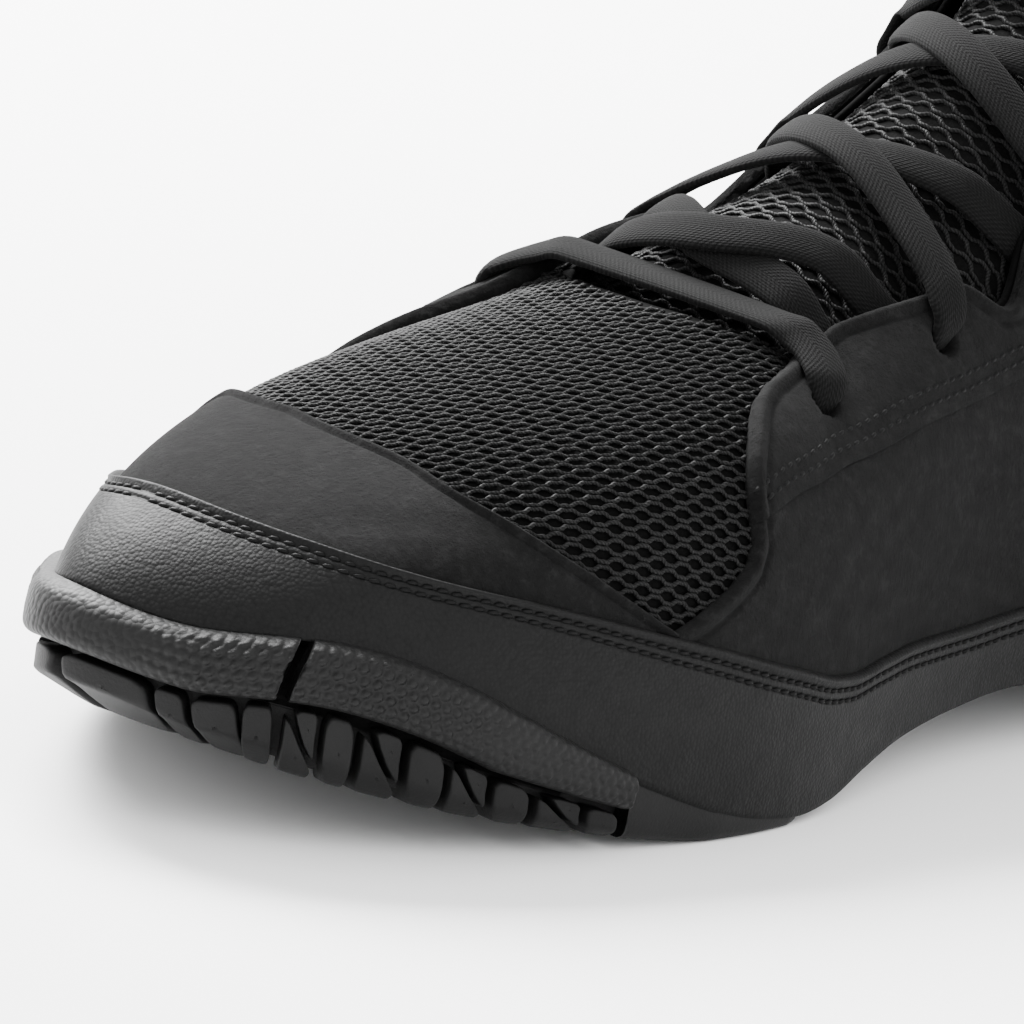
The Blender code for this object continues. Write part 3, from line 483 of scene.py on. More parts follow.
def cloth(name, dark, light, size, rough):
    """Knitted or woven cloth: slightly uneven round cells a thread spacing apart, on Object coordinates."""
    made, tree, shader = new_material(name, roughness=rough, specular_ior_level=.05)
    place = add_node(tree, "TexCoord").outputs["Object"]
    weave = add_node(tree, "TexVoronoi", {"Vector": place, "Scale": 1 / size, "Randomness": .35})
    soft = add_node(tree, "TexNoise", {"Vector": place, "Scale": .2 / size, "Detail": 3.0})
    both = add_node(tree, "Math", {0: weave.outputs["Distance"], 1: soft.outputs["Fac"]},
                    operation="MULTIPLY")
    tree.links.new(ramp(tree, both.outputs[0], [(.05, light), (.5, dark)]), shader.inputs["Base Color"])
    raised = add_node(tree, "Bump", {"Height": both.outputs[0], "Strength": .5, "Distance": .3 * size})
    tree.links.new(raised.outputs[0], shader.inputs["Normal"])
    return made


lining = cloth("knitted_lining", "#020202", "#060606", .7 * MM, .95)
sock_cloth = cloth("woven_sock_cloth", "#0c0c0d", "#161617", .6 * MM, .92)
foam = cloth("moulded_shank_foam", "#0c0c0c", "#141414", .5 * MM, .75)
print("finishes ready")

# %% [markdown]
# ## The hidden shell and the sock
#
# Under the mesh and the panels lies one dark lining. It is the shell of the upper, open at the throat
# and the collar, with a round rim. The mesh and the suede lie on it.

# %% Lining shell
s = np.linspace(0, COUNT, 320, endpoint=False)[:, None]
q = np.linspace(0, 1, 60)[None]
top = edge_share(s)
face_lift = -.75 * MM
outer = skin(s, q * top, face_lift + 0 * q * s)
turn = np.linspace(0, math.pi, 9)[1:-1][None]
radius = (WALL + face_lift) / 2
rim_way = unit(skin(s, top) - skin(s, top - .01))
rim_out = unit(skin(s, top, .001) - skin(s, top))
rim = (skin(s, top, face_lift - radius) + rim_out * (radius * np.cos(turn))[..., None]
       + rim_way * (radius * np.sin(turn))[..., None])
inner = skin(s, q[:, ::-1] * top, -WALL + 0 * q * s)
grid = np.concatenate([outer, rim, inner], 1)
add_piece("lining_shell", grid, grid_faces(*grid.shape[:2], 0, True, True), lining, ("upper",))

for node, paint in (("insole", sock_cloth), ("shank", foam)):
    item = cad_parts[node]
    item.data.materials.clear()
    item.data.materials.append(paint)
print("lining and sock done")

# %% [markdown]
# ## Suede panels
#
# Each panel covers a patch of the skin between four curves. Suede is soft and about a millimetre
# thick: its free edges are folded into a rounded lip with a stitched groove behind it. So the height
# of the panel over the skin is a profile of the distance to the free edge.


# %% Patches and lips
def resample(points, count=241):
    """Points at even steps along a polyline of (rib, share) pairs, smoothed by a short average."""
    points = np.asarray(points, float)
    run = run_along(skin(points[:, 0], points[:, 1]))
    places = np.linspace(0, run[-1], count)
    even = np.stack([np.interp(places, run, points[:, k]) for k in (0, 1)], -1)
    kernel = np.hanning(11)[1:-1]
    kernel = kernel / kernel.sum()
    padded = np.concatenate([2 * even[:1] - even[4:0:-1], even, 2 * even[-1:] - even[-2:-6:-1]])
    return np.stack([np.convolve(padded[:, k], kernel, "valid") for k in (0, 1)], -1)


def on_curve(curve, u):
    x = np.asarray(u) * (len(curve) - 1)
    return np.stack([np.interp(x, np.arange(len(curve)), curve[:, k]) for k in (0, 1)], -1)


def coons(bottom, top, left, right, u, v):
    """Coons patch in (rib, share): both ruled surfaces between opposite curves, less the bilinear one."""
    u, v = np.asarray(u)[:, None, None], np.asarray(v)[None, :, None]
    b, t = on_curve(bottom, u[:, 0, 0])[:, None], on_curve(top, u[:, 0, 0])[:, None]
    l, r = on_curve(left, v[0, :, 0])[None], on_curve(right, v[0, :, 0])[None]
    corners = (bottom[0], bottom[-1], top[0], top[-1])
    flat = ((1 - u) * (1 - v) * corners[0] + u * (1 - v) * corners[1] + (1 - u) * v * corners[2]
            + u * v * corners[3])
    return (1 - v) * b + v * t + (1 - u) * l + u * r - flat


def distance_to(points, line):
    """Least distance of each point to the points of a line, in slices to save memory."""
    flat = points.reshape(-1, 3)
    parts = [np.sqrt(((part[:, None] - line[None]) ** 2).sum(-1)).min(1)
             for part in np.array_split(flat, max(1, len(flat) // 4000))]
    return np.concatenate(parts).reshape(points.shape[:-1])


def lip(distance, thick, width=2.5 * MM, bulge=.45 * MM, groove=.35 * MM):
    """Height profile at a free edge: a quarter round, a bulge that sinks to a groove, then the flat panel."""
    x = distance / width
    rise = np.sqrt(np.clip(1 - (1 - np.clip(distance / (.8 * MM), 0, 1)) ** 2, 0, 1))
    roll = bulge * np.exp(-((x - .42) / .30) ** 2) - groove * np.exp(-((x - 1.0) / .16) ** 2)
    return rise * thick + roll * np.clip(distance / (.5 * MM), 0, 1)


def ease(count, dense=.5):
    """Places from 0 to 1 that crowd at both ends: a straight line blended with a half cosine."""
    x = np.linspace(0, 1, count)
    return (1 - dense) * x + dense * (1 - np.cos(math.pi * x)) / 2


def mirror(curve):
    return np.stack([COUNT - curve[:, 0], curve[:, 1]], -1)


CREASES = [  # two ends as rib and share, depth and width: soft folds where the ball of the foot bends
    ((3.95, .34), (4.35, .50), .30 * MM, 2.4 * MM), ((4.30, .30), (4.75, .47), .35 * MM, 2.8 * MM),
    ((4.70, .30), (5.15, .44), .28 * MM, 2.4 * MM), ((1.20, .36), (2.10, .40), .22 * MM, 3.0 * MM),
    ((5.70, .45), (6.40, .52), .30 * MM, 3.2 * MM), ((7.60, .40), (8.30, .56), .35 * MM, 3.4 * MM),
]
EYELETS = [(3.83, 13.4), (5.44, 6.8), (6.52, 6.8), (7.46, 6.8), (8.20, 6.8), (8.74, 6.8)]
PIT_RADIUS, PIT_DEPTH = 2.3 * MM, 2.9 * MM


def creases(points, turn):
    """Depth of the soft folds: a bell curve of the distance to each crease line, on one side of the shoe."""
    depth = np.zeros(points.shape[:-1])
    for (s0, t0), (s1, t1), deep, wide in CREASES:
        u = np.linspace(0, 1, 24)
        line = skin(turn * (s0 + (s1 - s0) * u), t0 + (t1 - t0) * u + .02 * np.sin(math.pi * u))
        depth = depth + deep * np.exp(-(distance_to(points, line) / wide) ** 2)
    return depth


def pits(points):
    """Depth of the punched holes: full in the middle and gone at the radius, with a steep wall."""
    centre = np.array([skin(np.array(turn * s), share_from_top(np.array(turn * s), inset * MM))
                       for s, inset in EYELETS for turn in (1, -1)])
    share = np.clip((PIT_RADIUS - distance_to(points, centre)) / (.7 * MM), 0, 1)
    return PIT_DEPTH * share * share * (3 - 2 * share)


def panel(name, share_grid, free_edges, thick, replaced, base=.05 * MM, lip_width=2.5 * MM, turn=1,
          punched=False):
    """A sheet over a grid of (rib, share) with lips along its free edges, folds and punched holes."""
    s, t = share_grid[..., 0], share_grid[..., 1]
    flat = skin(s, t)
    away = np.full(s.shape, 1.0)
    for edge in free_edges:
        away = np.minimum(away, distance_to(flat, skin(edge[:, 0], edge[:, 1])))
    lift = base + lip(away, thick, lip_width) - creases(flat, turn) * np.clip(away / (3 * MM), 0, 1)
    if punched:
        lift = lift - pits(flat)
    points, faces = shell(skin(s, t, lift), skin(s, t, np.minimum(-.3 * MM, lift - .3 * MM)))
    return add_piece(name, points, faces, suede, replaced)


def rand_top(s):
    return CURVES["top"](s) * BAND


FRONT_EDGE = np.array([  # rib and share, from the rand up round the front of the suede to the throat
    [3.33, .293], [3.40, .325], [3.50, .385], [3.53, .430], [3.48, .475], [3.38, .510], [3.30, .535],
    [2.90, .650], [2.60, .745], [2.52, .785], [2.58, .825], [2.84, .865], [3.50, .930], [4.25, .975],
    [4.60, 1.0]])
SEAM_START = 5
SEAM = np.array([[3.38, .510], [3.60, .575], [4.11, .630], [4.96, .645], [5.62, .650], [6.00, .660]])
BAND_WIDTH = 15.8 * MM


def band_share(ribs):
    """Share at which each rib is the band's width away from the throat edge."""
    edge = skin(np.linspace(4.3, 9.0, 400), 1.0)
    t = np.linspace(1, .3, 281)
    result = []
    for rib in ribs:
        away = distance_to(skin(np.full(t.size, rib), t), edge)
        result.append(np.interp(BAND_WIDTH, away[:260], t[:260]))
    return np.array(result)


EYESTAY_END = 9.50      # the eyestay laps over the start of the quarter's collar by this rib
late = np.linspace(6.25, EYESTAY_END, 62)
seam_line = resample(np.concatenate([SEAM, np.stack([late, band_share(late)], -1)]))
throat = np.linspace(4.75, EYESTAY_END, 400)
throat_line = np.concatenate([FRONT_EDGE[9:], np.stack([throat, edge_share(throat)], -1)])
lobe_line = resample(FRONT_EDGE[SEAM_START:10], 121)
throat_line = resample(throat_line, 801)
foot_line = resample(FRONT_EDGE[:SEAM_START + 1], 121)
print("seam %s to %s" % (seam_line[0].round(2), seam_line[-1].round(2)))

# %% Eyestays and quarters of both sides
rear_end = np.stack([np.full(41, EYESTAY_END), np.linspace(seam_line[-1, 1], throat_line[-1, 1], 41)], -1)
eyestay_grid = coons(seam_line, throat_line, lobe_line, rear_end, np.linspace(0, 1, 360), ease(48, .6))
under = np.linspace(3.33, 12, 300)
quarter_low = np.stack([under, share_at(under, rand_top(under) - 1.2 * MM)], -1)
quarter_low[0] = FRONT_EDGE[0]
climb = np.array([[9.20, .80], [9.22, .90], [9.25, .985]])
collar_run = np.stack([np.linspace(9.4, 12, 60), np.full(60, .985)], -1)
quarter_high = np.concatenate([seam_line[seam_line[:, 0] < 9.17], climb, collar_run])


def by_rib(curve, ribs):
    return np.stack([ribs, np.interp(ribs, curve[:, 0], curve[:, 1])], -1)


columns = np.unique(np.concatenate([np.linspace(3.38, 4, 60), np.linspace(4, 12, 230),
                                    [9.185, 9.20, 9.22, 9.25]]))
top_curve = by_rib(quarter_high, columns)
low_curve = by_rib(quarter_low, 3.33 + (columns - 3.38) * (12 - 3.33) / (12 - 3.38))
heel_line = np.stack([np.full(41, 12.0), np.linspace(low_curve[-1, 1], .985, 41)], -1)
quarter_grid = coons(low_curve, top_curve, foot_line, heel_line, np.linspace(0, 1, len(columns)),
                     ease(50, .6))



def same(grid):
    return grid


def other(grid):
    """The same panel on the lateral side; its first way is turned round so that its face stays outside."""
    return mirror(grid.reshape(-1, 2)).reshape(grid.shape)[::-1]


for side, place, turn in (("medial", same, 1), ("lateral", other, -1)):
    edges = [place(lobe_line), place(throat_line), place(rear_end)]
    panel("eyestay_suede_" + side, place(eyestay_grid), edges, 1.25 * MM, ("eyestay_" + side,), base=.35 * MM,
          turn=turn, punched=True)
    panel("quarter_suede_" + side, place(quarter_grid), [place(foot_line)], 1.0 * MM, ("quarter_" + side,),
          turn=turn)

# %% Toe cap
CAP_EDGE = np.array([[.00, .570], [.81, .530], [1.62, .455], [2.41, .385], [2.73, .358], [3.04, .328],
                     [3.33, .296]])
cap_half = open_curve(CAP_EDGE[:, 0], CAP_EDGE[:, 1])
s = np.linspace(-3.33, 3.33, 260)
cap_low = np.stack([s, share_at(s, rand_top(s) - 1.2 * MM)], -1)
cap_high = np.stack([s, np.maximum(cap_half(np.abs(s)), cap_low[:, 1] + .004)], -1)
v = ease(58, .5)[None, :, None]
cap_grid = cap_low[:, None] * (1 - v) + cap_high[:, None] * v
panel("toe_cap_suede", cap_grid, [cap_high], 1.0 * MM, ("toe_cap",), lip_width=1.6 * MM)

# %% [markdown]
# ## The rand
#
# The rand is a strip of smooth leather that wraps the foot from toe to heel and covers the foot of
# the panels. Its top edge is turned to a rounded lip, and two rows of stitches draw it down behind
# that. So its height is again a profile of the distance from its top edge.

# %% Rand
RAND_FACE = 1.9 * MM
STITCH_ROWS = (1.9 * MM, 3.4 * MM)


def rand_profile(below_top):
    """Quarter round at the lip, a soft bulge, and a shallow trough under each row of stitches."""
    rise = np.sqrt(np.clip(1 - (1 - np.clip(below_top / (.7 * MM), 0, 1)) ** 2, 0, 1))
    height = 1.1 * MM + (RAND_FACE - 1.1 * MM) * rise
    height = height + .35 * MM * np.exp(-((below_top - .75 * MM) / (.5 * MM)) ** 2)
    for row in STITCH_ROWS:
        height = height - .30 * MM * np.exp(-((below_top - row) / (.32 * MM)) ** 2)
    return height


s = np.linspace(0, COUNT, 660, endpoint=False)[:, None]
low, high = CURVES["low"](s) * BAND, rand_top(s)
below_top = np.concatenate([np.linspace(0, 4.6, 34) * MM, np.linspace(5.2, 26, 16) * MM])[None]
share = np.clip(below_top / (high - low), 0, 1)
share[:, 34:] = (4.6 * MM / (high - low)) + (1 - 4.6 * MM / (high - low)) * np.linspace(1 / 16, 1, 16)[None]
share = np.minimum.accumulate(np.clip(share, 0, 1)[:, ::-1], 1)[:, ::-1]
run = high - (high - low) * share
face = skin_run(s, run, rand_profile(high - run))
back = skin_run(s, run[:, ::8], .2 * MM)[:, ::-1]
grid = np.concatenate([face, back], 1)
add_piece("rand_leather", grid[:, ::-1], grid_faces(*grid.shape[:2], 0, True, True), rand_leather, ("rand",))

# %% [markdown]
# ## Stitches
#
# A seam is a row of small capsules: each stitch is a short thread that dives into the leather at both
# ends. One capsule is worked out once, and whole rows are placed by adding and turning arrays.


# %% Stitch rows
def stitch_shape(length, radius, sides=6):
    """Points of one stitch: rings of a small radius at its ends and full in the middle, sunk at both ends."""
    x = np.array([-.5, -.42, -.2, .2, .42, .5]) * length
    r = np.array([.25, .75, 1, 1, .75, .25]) * radius
    sink = -np.array([1.6, .55, 0, 0, .55, 1.6]) * radius
    a = np.arange(sides) * 2 * math.pi / sides
    return np.stack([x[:, None] + 0 * a, r[:, None] * np.cos(a), sink[:, None] + r[:, None] * np.sin(a)], -1)


STITCH_PITCH, STITCH_LENGTH, STITCH_SLANT = 2.05 * MM, 1.75 * MM, .16


def seam_rows(name, lines, lifts, radius):
    """Stitches along lines of (rib, share) pairs, evenly spaced and a little aslant, at given lifts."""
    shape = stitch_shape(STITCH_LENGTH, radius)
    rings, sides = shape.shape[:2]
    points, faces, start = [], [], 0
    quads = grid_faces(rings, sides, 0, False, True)
    ends = [[0, 1, 2, 3], [0, 3, 4, 5]]
    caps = np.array([row[::-1] for row in ends] + [[(rings - 1) * sides + k for k in row] for row in ends])
    one = np.concatenate([quads[:, ::-1], caps[:, ::-1]])
    for line, lift in zip(lines, lifts):
        path = skin(line[:, 0], line[:, 1], lift + 0 * line[:, 0])
        steps = run_along(path)
        places = np.arange(STITCH_PITCH, steps[-1] - STITCH_PITCH, STITCH_PITCH)
        centre, before, after = (np.stack([np.interp(places + d, steps, path[:, k]) for k in range(3)], -1)
                                 for d in (0, -.4 * MM, .4 * MM))
        ribs, shares = (np.interp(places, steps, line[:, k]) for k in (0, 1))
        normal = unit(skin(ribs, shares, .001) - skin(ribs, shares))
        along = unit(after - before)
        across = np.cross(normal, along)
        along = unit(along + STITCH_SLANT * across)
        across = np.cross(normal, along)
        frames = np.stack([along, across, normal], 1)
        placed = centre[:, None, None] + np.einsum("rsk,nkc->nrsc", shape, frames)
        count = len(places)
        points.append(placed.reshape(-1, 3))
        faces.append((one[None] + np.arange(count)[:, None, None] * rings * sides).reshape(-1, 4) + start)
        start += count * rings * sides
    points, faces = np.concatenate(points), np.concatenate(faces)
    return add_piece(name, points, outward_faces(points, faces), thread)


def outward_faces(points, faces):
    """Turn all faces over if the volume that they enclose comes out negative."""
    a, b, c, d = (points[faces[:, k]] for k in range(4))
    volume = (np.cross(a, b) * c).sum() + (np.cross(a, c) * d).sum()
    return faces if volume > 0 else faces[:, ::-1]


s = np.linspace(0, COUNT, 1400)
rows = [np.stack([s, share_at(s, rand_top(s) - row)], -1) for row in STITCH_ROWS]
seam_rows("rand_stitches", rows, [RAND_FACE - .12 * MM] * 2, .30 * MM)


def shifted(line, distance):
    """A line moved over the skin by a distance to its left, by finite steps of rib and share."""
    s, t = line[:, 0], line[:, 1]
    step = 1e-3
    ds, dt = (skin(s + step, t) - skin(s, t)) / step, (skin(s, t + step) - skin(s, t)) / step
    path = skin(s, t)
    way = unit(np.gradient(path, axis=0))
    left = np.cross(unit(np.cross(ds, dt)), way)
    a, b, c = (ds * ds).sum(-1), (ds * dt).sum(-1), (dt * dt).sum(-1)
    x, y = (left * ds).sum(-1), (left * dt).sum(-1)
    det = a * c - b * b
    return np.stack([s + distance * (c * x - b * y) / det, t + distance * (a * y - b * x) / det], -1)


seams = [shifted(seam_line, 2.1 * MM), shifted(seam_line, 4.0 * MM)]
lines = seams + [mirror(line) for line in seams]
seam_rows("seam_stitches", lines, [1.52 * MM] * 4, .29 * MM)

# %% [markdown]
# ## The sole
#
# The rubber sole has a bumper band round the toe, cut by two flex slots on each side, and a row of
# lugs under it. Its measure is the distance round the edge from the toe tip. Each block is a tube:
# rings of points with flat ends, so one helper makes the bumper, the lugs, the core and the heel.

# %% Measures of the sole
FLUSH = 1.9 * MM
PROUD, BAND_TALL = 2.4 * MM, 8.1 * MM
ARC_RIBS = np.linspace(0, HALF, 1201)


def arc_table(sign):
    return run_along(low_line(sign * ARC_RIBS)[:, :2])


ARCS = {1: arc_table(1), -1: arc_table(-1)}


def rib_at_arc(arc):
    """Rib at a signed distance round the edge: positive on the medial side."""
    arc = np.asarray(arc, float)
    return np.where(arc >= 0, np.interp(arc, ARCS[1], ARC_RIBS), -np.interp(-arc, ARCS[-1], ARC_RIBS))


def sole_point(ribs, height, offset):
    """The upper's own face at a height, or straight below its lower line, moved out level by offset."""
    ribs, height, offset = np.broadcast_arrays(ribs, height, offset)
    foot = low_line(ribs)
    points = skin_run(ribs, np.maximum(height - foot[..., 2], 0)) + outward(ribs) * offset[..., None]
    return np.concatenate([points[..., :2], height[..., None]], -1)


def sole_heights(ribs):
    """Heights of the tread, the bumper's lower edge and its upper edge, and how plain the band is."""
    along = CURVES["along"](ribs) * LENGTH
    bottom = tread_height(along)
    brim = skin_run(ribs, CURVES["low"](ribs) * BAND)[..., 2] + 1.1 * MM
    under = np.maximum(brim - BAND_TALL, bottom + .45 * (brim - bottom))
    plain = np.clip((along / LENGTH - .210) / .040, 0, 1)
    return bottom, under, brim, plain


def tube(rings):
    """Points and quads of rings of points, closed at both ends by quads between facing points."""
    rows, count = rings.shape[:2]
    points = rings.reshape(-1, 3)
    j = np.arange(count // 2 - 1)
    cap = np.stack([j, j + 1, count - 2 - j, count - 1 - j], -1)
    side = grid_faces(rows, count, 0, False, True)[:, ::-1]
    faces = np.concatenate([side, cap, cap[:, ::-1] + (rows - 1) * count])
    return points, outward_faces(points, faces)


def joined(parts):
    """One list of points and faces from several."""
    points, faces, start = [], [], 0
    for p, f in parts:
        points.append(p)
        faces.append(f + start)
        start += len(p)
    return np.concatenate(points), np.concatenate(faces)


print("edge length: %.0f mm medial, %.0f mm lateral" % (ARCS[1][-1] / MM, ARCS[-1][-1] / MM))

# %% Toe bumper with its domes
DOME_PITCH, DOME_SIZE = 1.55 * MM, .58 * MM
SLOT_ARCS, SLOT_HALF = (29.4 * MM, 80.6 * MM), .75 * MM


def domes(arc, height, near):
    """Round knobs in a staggered lattice: rows at even heights, every other row shifted by half a pitch."""
    row_gap = DOME_PITCH * .866
    row = np.floor(height / row_gap)
    x = (arc / DOME_PITCH + .5 * (row % 2)) % 1 - .5
    y = (height / row_gap) % 1 - .5
    away = np.hypot(x * DOME_PITCH, y * row_gap)
    knob = np.sqrt(np.clip(1 - (away / DOME_SIZE) ** 2, 0, 1))
    return near * knob * .48 * MM


def bumper_band(start, end, step=.20 * MM, rows=40):
    """The band from one distance round the edge to another: a rounded bar with domes on its face."""
    arc = np.linspace(start, end, max(12, int(abs(end - start) / step)))[:, None]
    ribs = rib_at_arc(arc)
    bottom, under, brim, plain = sole_heights(ribs)
    v = ease(rows, .35)[None]
    height = under + (brim - under) * v
    round_off = (1 - np.abs(2 * v - 1) ** 4.5) ** .5
    mark = np.abs(arc) / MM
    strong = np.clip((mark - 10) / 10, 0, 1) * np.clip((62 - mark) / 22, .0, 1)
    near = (strong + .40 * np.clip((mark - 30) / 20, 0, 1)) * np.clip((.5 - np.abs(v - .5)) / .10, 0, 1)
    edge = np.clip(np.minimum(np.abs(arc - start), np.abs(arc - end)) / (.5 * MM), 0, 1)
    corner = .35 * MM * (1 - np.sqrt(np.clip(1 - (1 - edge) ** 2, 0, 1)))
    offset = FLUSH - 1.1 * MM + (PROUD * (1 - plain) + 1.1 * MM) * round_off - corner
    offset = offset + domes(arc, height - under, near)
    face = sole_point(ribs, height, offset)
    inside = [sole_point(ribs, brim - .2 * MM, -1.5 * MM), sole_point(ribs, (under + brim) / 2, -1.5 * MM),
              sole_point(ribs, under + .2 * MM, -1.5 * MM), sole_point(ribs, under + .1 * MM, -.5 * MM)]
    ring = np.concatenate([face] + inside, 1)
    return tube(ring)


near_slot, far_slot = SLOT_ARCS
stretches = [(-far_slot, -near_slot), (-near_slot, near_slot), (near_slot, far_slot)]
bands = [bumper_band(a + SLOT_HALF, b - SLOT_HALF) for a, b in stretches]
points, faces = joined(bands)
add_piece("toe_bumper", points, faces, pebbled_rubber)

# %% Lugs of the tread
# A lug is an outline in its own square, from 0 to 1 along the edge and up, carried onto the sole.
PLAIN_LUG = [(.00, .12), (.08, .00), (.92, .00), (1.0, .12), (1.0, .86), (.86, 1.0), (.14, 1.0), (.00, .86)]
CHAMFERED = [(.00, .36), (.26, .00), (.94, .00), (1.0, .10), (1.0, .80), (.82, 1.0), (.16, 1.0), (.00, .84)]
LOWER_HALF = [(.00, .08), (.06, .00), (.94, .00), (1.0, .06), (1.0, .13), (.55, .45), (.15, .80), (.00, .86)]
UPPER_HALF = [(1.0, .28), (.96, .60), (.98, .90), (.90, 1.0), (.45, 1.0), (.30, .94), (.42, .76), (.66, .50)]
TOE_LUGS = [(0.0, 13.0), (14.0, 17.8), (18.7, 24.3), (25.1, 28.7)]
SIDE_LUGS = [(30.2, 34.2), (35.2, 38.9), (40.1, 45.4), (46.5, 51.6), (52.7, 58.1), (59.2, 64.7), (66.2, 73.2),
             (74.4, 79.6)]


def lug(outline, start, end, side, lean=0.0, fullness=.0):
    """A block: rings of the smoothed outline, from deep inside to the face, drawn in at the face's rim."""
    corner = np.array(outline, float)
    dense = np.concatenate([np.linspace(a, b, 6, endpoint=False)
                            for a, b in zip(corner, np.roll(corner, -1, 0))])
    dense = (np.roll(dense, 1, 0) + dense * 2 + np.roll(dense, -1, 0)) / 4
    dense = (np.roll(dense, 1, 0) + dense * 2 + np.roll(dense, -1, 0)) / 4
    middle = dense.mean(0)
    levels = np.array([[5.0, 1.0], [2.0, 1.0], [.55, 1.0], [.30, .985], [.12, .955], [.03, .91], [.0, .84],
                       [.0, .62], [.0, .38], [.0, .16], [.0, .02]])
    u = middle[0] + (dense[:, 0] - middle[0]) * levels[:, 1:]
    h = middle[1] + (dense[:, 1] - middle[1]) * levels[:, 1:]
    curve = lean * (1 - h) ** 1.6
    arc = side * (start + (end - start) * u + curve) * MM
    ribs = rib_at_arc(arc)
    bottom, under, brim, plain = sole_heights(ribs)
    top = np.maximum(under - .8 * MM, bottom + .55 * (under - bottom))
    tuck = (1.9 + fullness) * MM * np.clip(1 - h / .48, 0, 1) ** 2
    points = sole_point(ribs, top, FLUSH + .1 * MM - tuck - levels[:, :1] * MM)
    ground = np.minimum(tread_height(points[..., 0] + 0 * h), bottom)
    points[..., 2] = ground + (top - ground) * h
    return tube(points)


lugs = []
for side in (1, -1):
    for index, (start, end) in enumerate(TOE_LUGS):
        lugs.append(lug(PLAIN_LUG, start if index else .5, end, side, lean=1.9 if index < 3 else .6,
                        fullness=6.0 if index < 3 else 3.0))
    for index, (start, end) in enumerate(SIDE_LUGS):
        if index % 2:
            lugs.append(lug(CHAMFERED, start, end, side))
        else:
            lugs.append(lug(LOWER_HALF, start, end, side))
            lugs.append(lug(UPPER_HALF, start, end, side))
points, faces = joined(lugs)
add_piece("tread_lugs", points, faces, rubber)

# %% Core and rear block of the forefoot
PAD_END = .345



def rib_at(along, side, part):
    """The rib of one side whose sole edge is at this length, looked for in a part of the ribs."""
    ribs = ARC_RIBS[part]
    return float(np.interp(along, CURVES["along"](side * ribs) * LENGTH, ribs))


END_RIB = [rib_at(PAD_END * LENGTH, side, np.s_[200:600]) for side in (1, -1)]
END_ARC = [float(np.interp(rib, ARC_RIBS, ARCS[side])) for rib, side in zip(END_RIB, (1, -1))]


def outline_pairs(count, ends):
    """Distances round the edge for a ring: down the medial side to its end and back up the lateral side."""
    medial = np.linspace(.6 * MM, ends[0], count)
    lateral = np.linspace(.6 * MM, ends[1], count)
    return np.concatenate([medial, -lateral[::-1]])


ribs = rib_at_arc(outline_pairs(220, END_ARC))
bottom, under, brim, plain = sole_heights(ribs)
levels = [(bottom, -9.0), (bottom, -7.2), (bottom + .9 * MM, -6.2), (bottom + 1.3 * MM, -2.2),
          (bottom + .3 * (under - bottom), -1.2), (under - .6 * MM, -1.0), (brim - 1.5 * MM, -.9),
          (low_line(ribs)[:, 2] - .3 * MM, -1.0), (low_line(ribs)[:, 2] - .3 * MM, -4.0)]
core = tube(np.stack([sole_point(ribs, height, offset * MM) for height, offset in levels]))


def rear_block(side, start, end):
    """The plain block behind the second slot: a bar with a small round at its foot."""
    arc = np.linspace(start, end, 90)[:, None]
    ribs = rib_at_arc(side * arc)
    bottom, under, brim, plain = sole_heights(ribs)
    h = np.array([0, 0, 0, .05, .12, .25, .5, .8, .93, 1.0, 1.0])[None]
    inward = np.array([9.0, 5.0, 1.6, .75, .35, .12, 0, 0, .1, .5, 2.4])[None] * MM
    tail = np.clip((end - arc) / (4 * MM), 0, 1) ** .5
    offset = FLUSH - .1 * MM - inward - (1 - tail) * 1.4 * MM
    return tube(sole_point(ribs, bottom + (brim - bottom) * h, offset))


blocks = [rear_block(side, SLOT_ARCS[1] + SLOT_HALF, end) for side, end in zip((1, -1), END_ARC)]
points, faces = joined([core] + blocks)
add_piece("forefoot_core", points, faces, rubber, ("outsole_forefoot",))

# %% Heel pad
HEEL_FRONT = .725 * LENGTH
ends = [rib_at(HEEL_FRONT, side, np.s_[500:1001]) for side in (1, -1)]
medial, lateral = np.linspace(ends[0], HALF - .02, 120), np.linspace(ends[1], HALF - .02, 120)
ribs = np.concatenate([medial, -lateral[::-1]])
top = low_line(ribs)[:, 2] - 3.6 * MM
floor_level = 0 * top
levels = [(floor_level, -9.0), (floor_level, -5.0), (floor_level, -.2), (floor_level + .5 * MM, 1.0),
          (floor_level + 1.3 * MM, 1.7), (top * .35, 2.0), (top * .7, 2.1), (top - .6 * MM, 1.9),
          (top - .2 * MM, 1.7), (top, 1.2), (top, -6.0)]
points, faces = tube(np.stack([sole_point(ribs, height, offset * MM) for height, offset in levels]))
add_piece("heel_pad", points, faces, rubber, ("outsole_heel",))

# %% [markdown]
# ## The mesh of the vamp
#
# The vamp is an open net over a dark backing: yarns run across in pairs that touch and part, so that
# they leave rows of square holes. To lay straight yarns on a curved vamp its skin is first flattened
# so that all angles stay: every triangle of a grid asks to keep its shape, which is one set of linear
# equations in complex numbers. The knit is then stretched a little, as over a last, and stays square.

# %% Flatten the vamp
grid_s, grid_t = np.linspace(-5, 5, 61), np.linspace(.22, 1, 25)
solid = skin(grid_s[:, None], grid_t[None])
quads = grid_faces(len(grid_s), len(grid_t))
triangles = np.concatenate([quads[:, [0, 1, 2]], quads[:, [0, 2, 3]]])
spots = solid.reshape(-1, 3)[triangles]
first, second = spots[:, 1] - spots[:, 0], spots[:, 2] - spots[:, 0]
x_way = unit(first)
y_way = np.cross(unit(np.cross(first, second)), x_way)
local = np.stack([0j * first[:, 0], (first * x_way).sum(-1) + 0j,
                  (second * x_way).sum(-1) + 1j * (second * y_way).sum(-1)], 1)
doubled = np.linalg.norm(np.cross(first, second), axis=-1)
weights = (np.roll(local, -2, 1) - np.roll(local, -1, 1)) / np.sqrt(doubled)[:, None]
system = np.zeros((len(triangles), solid[..., 0].size), complex)
np.add.at(system, (np.arange(len(triangles))[:, None], triangles), weights)
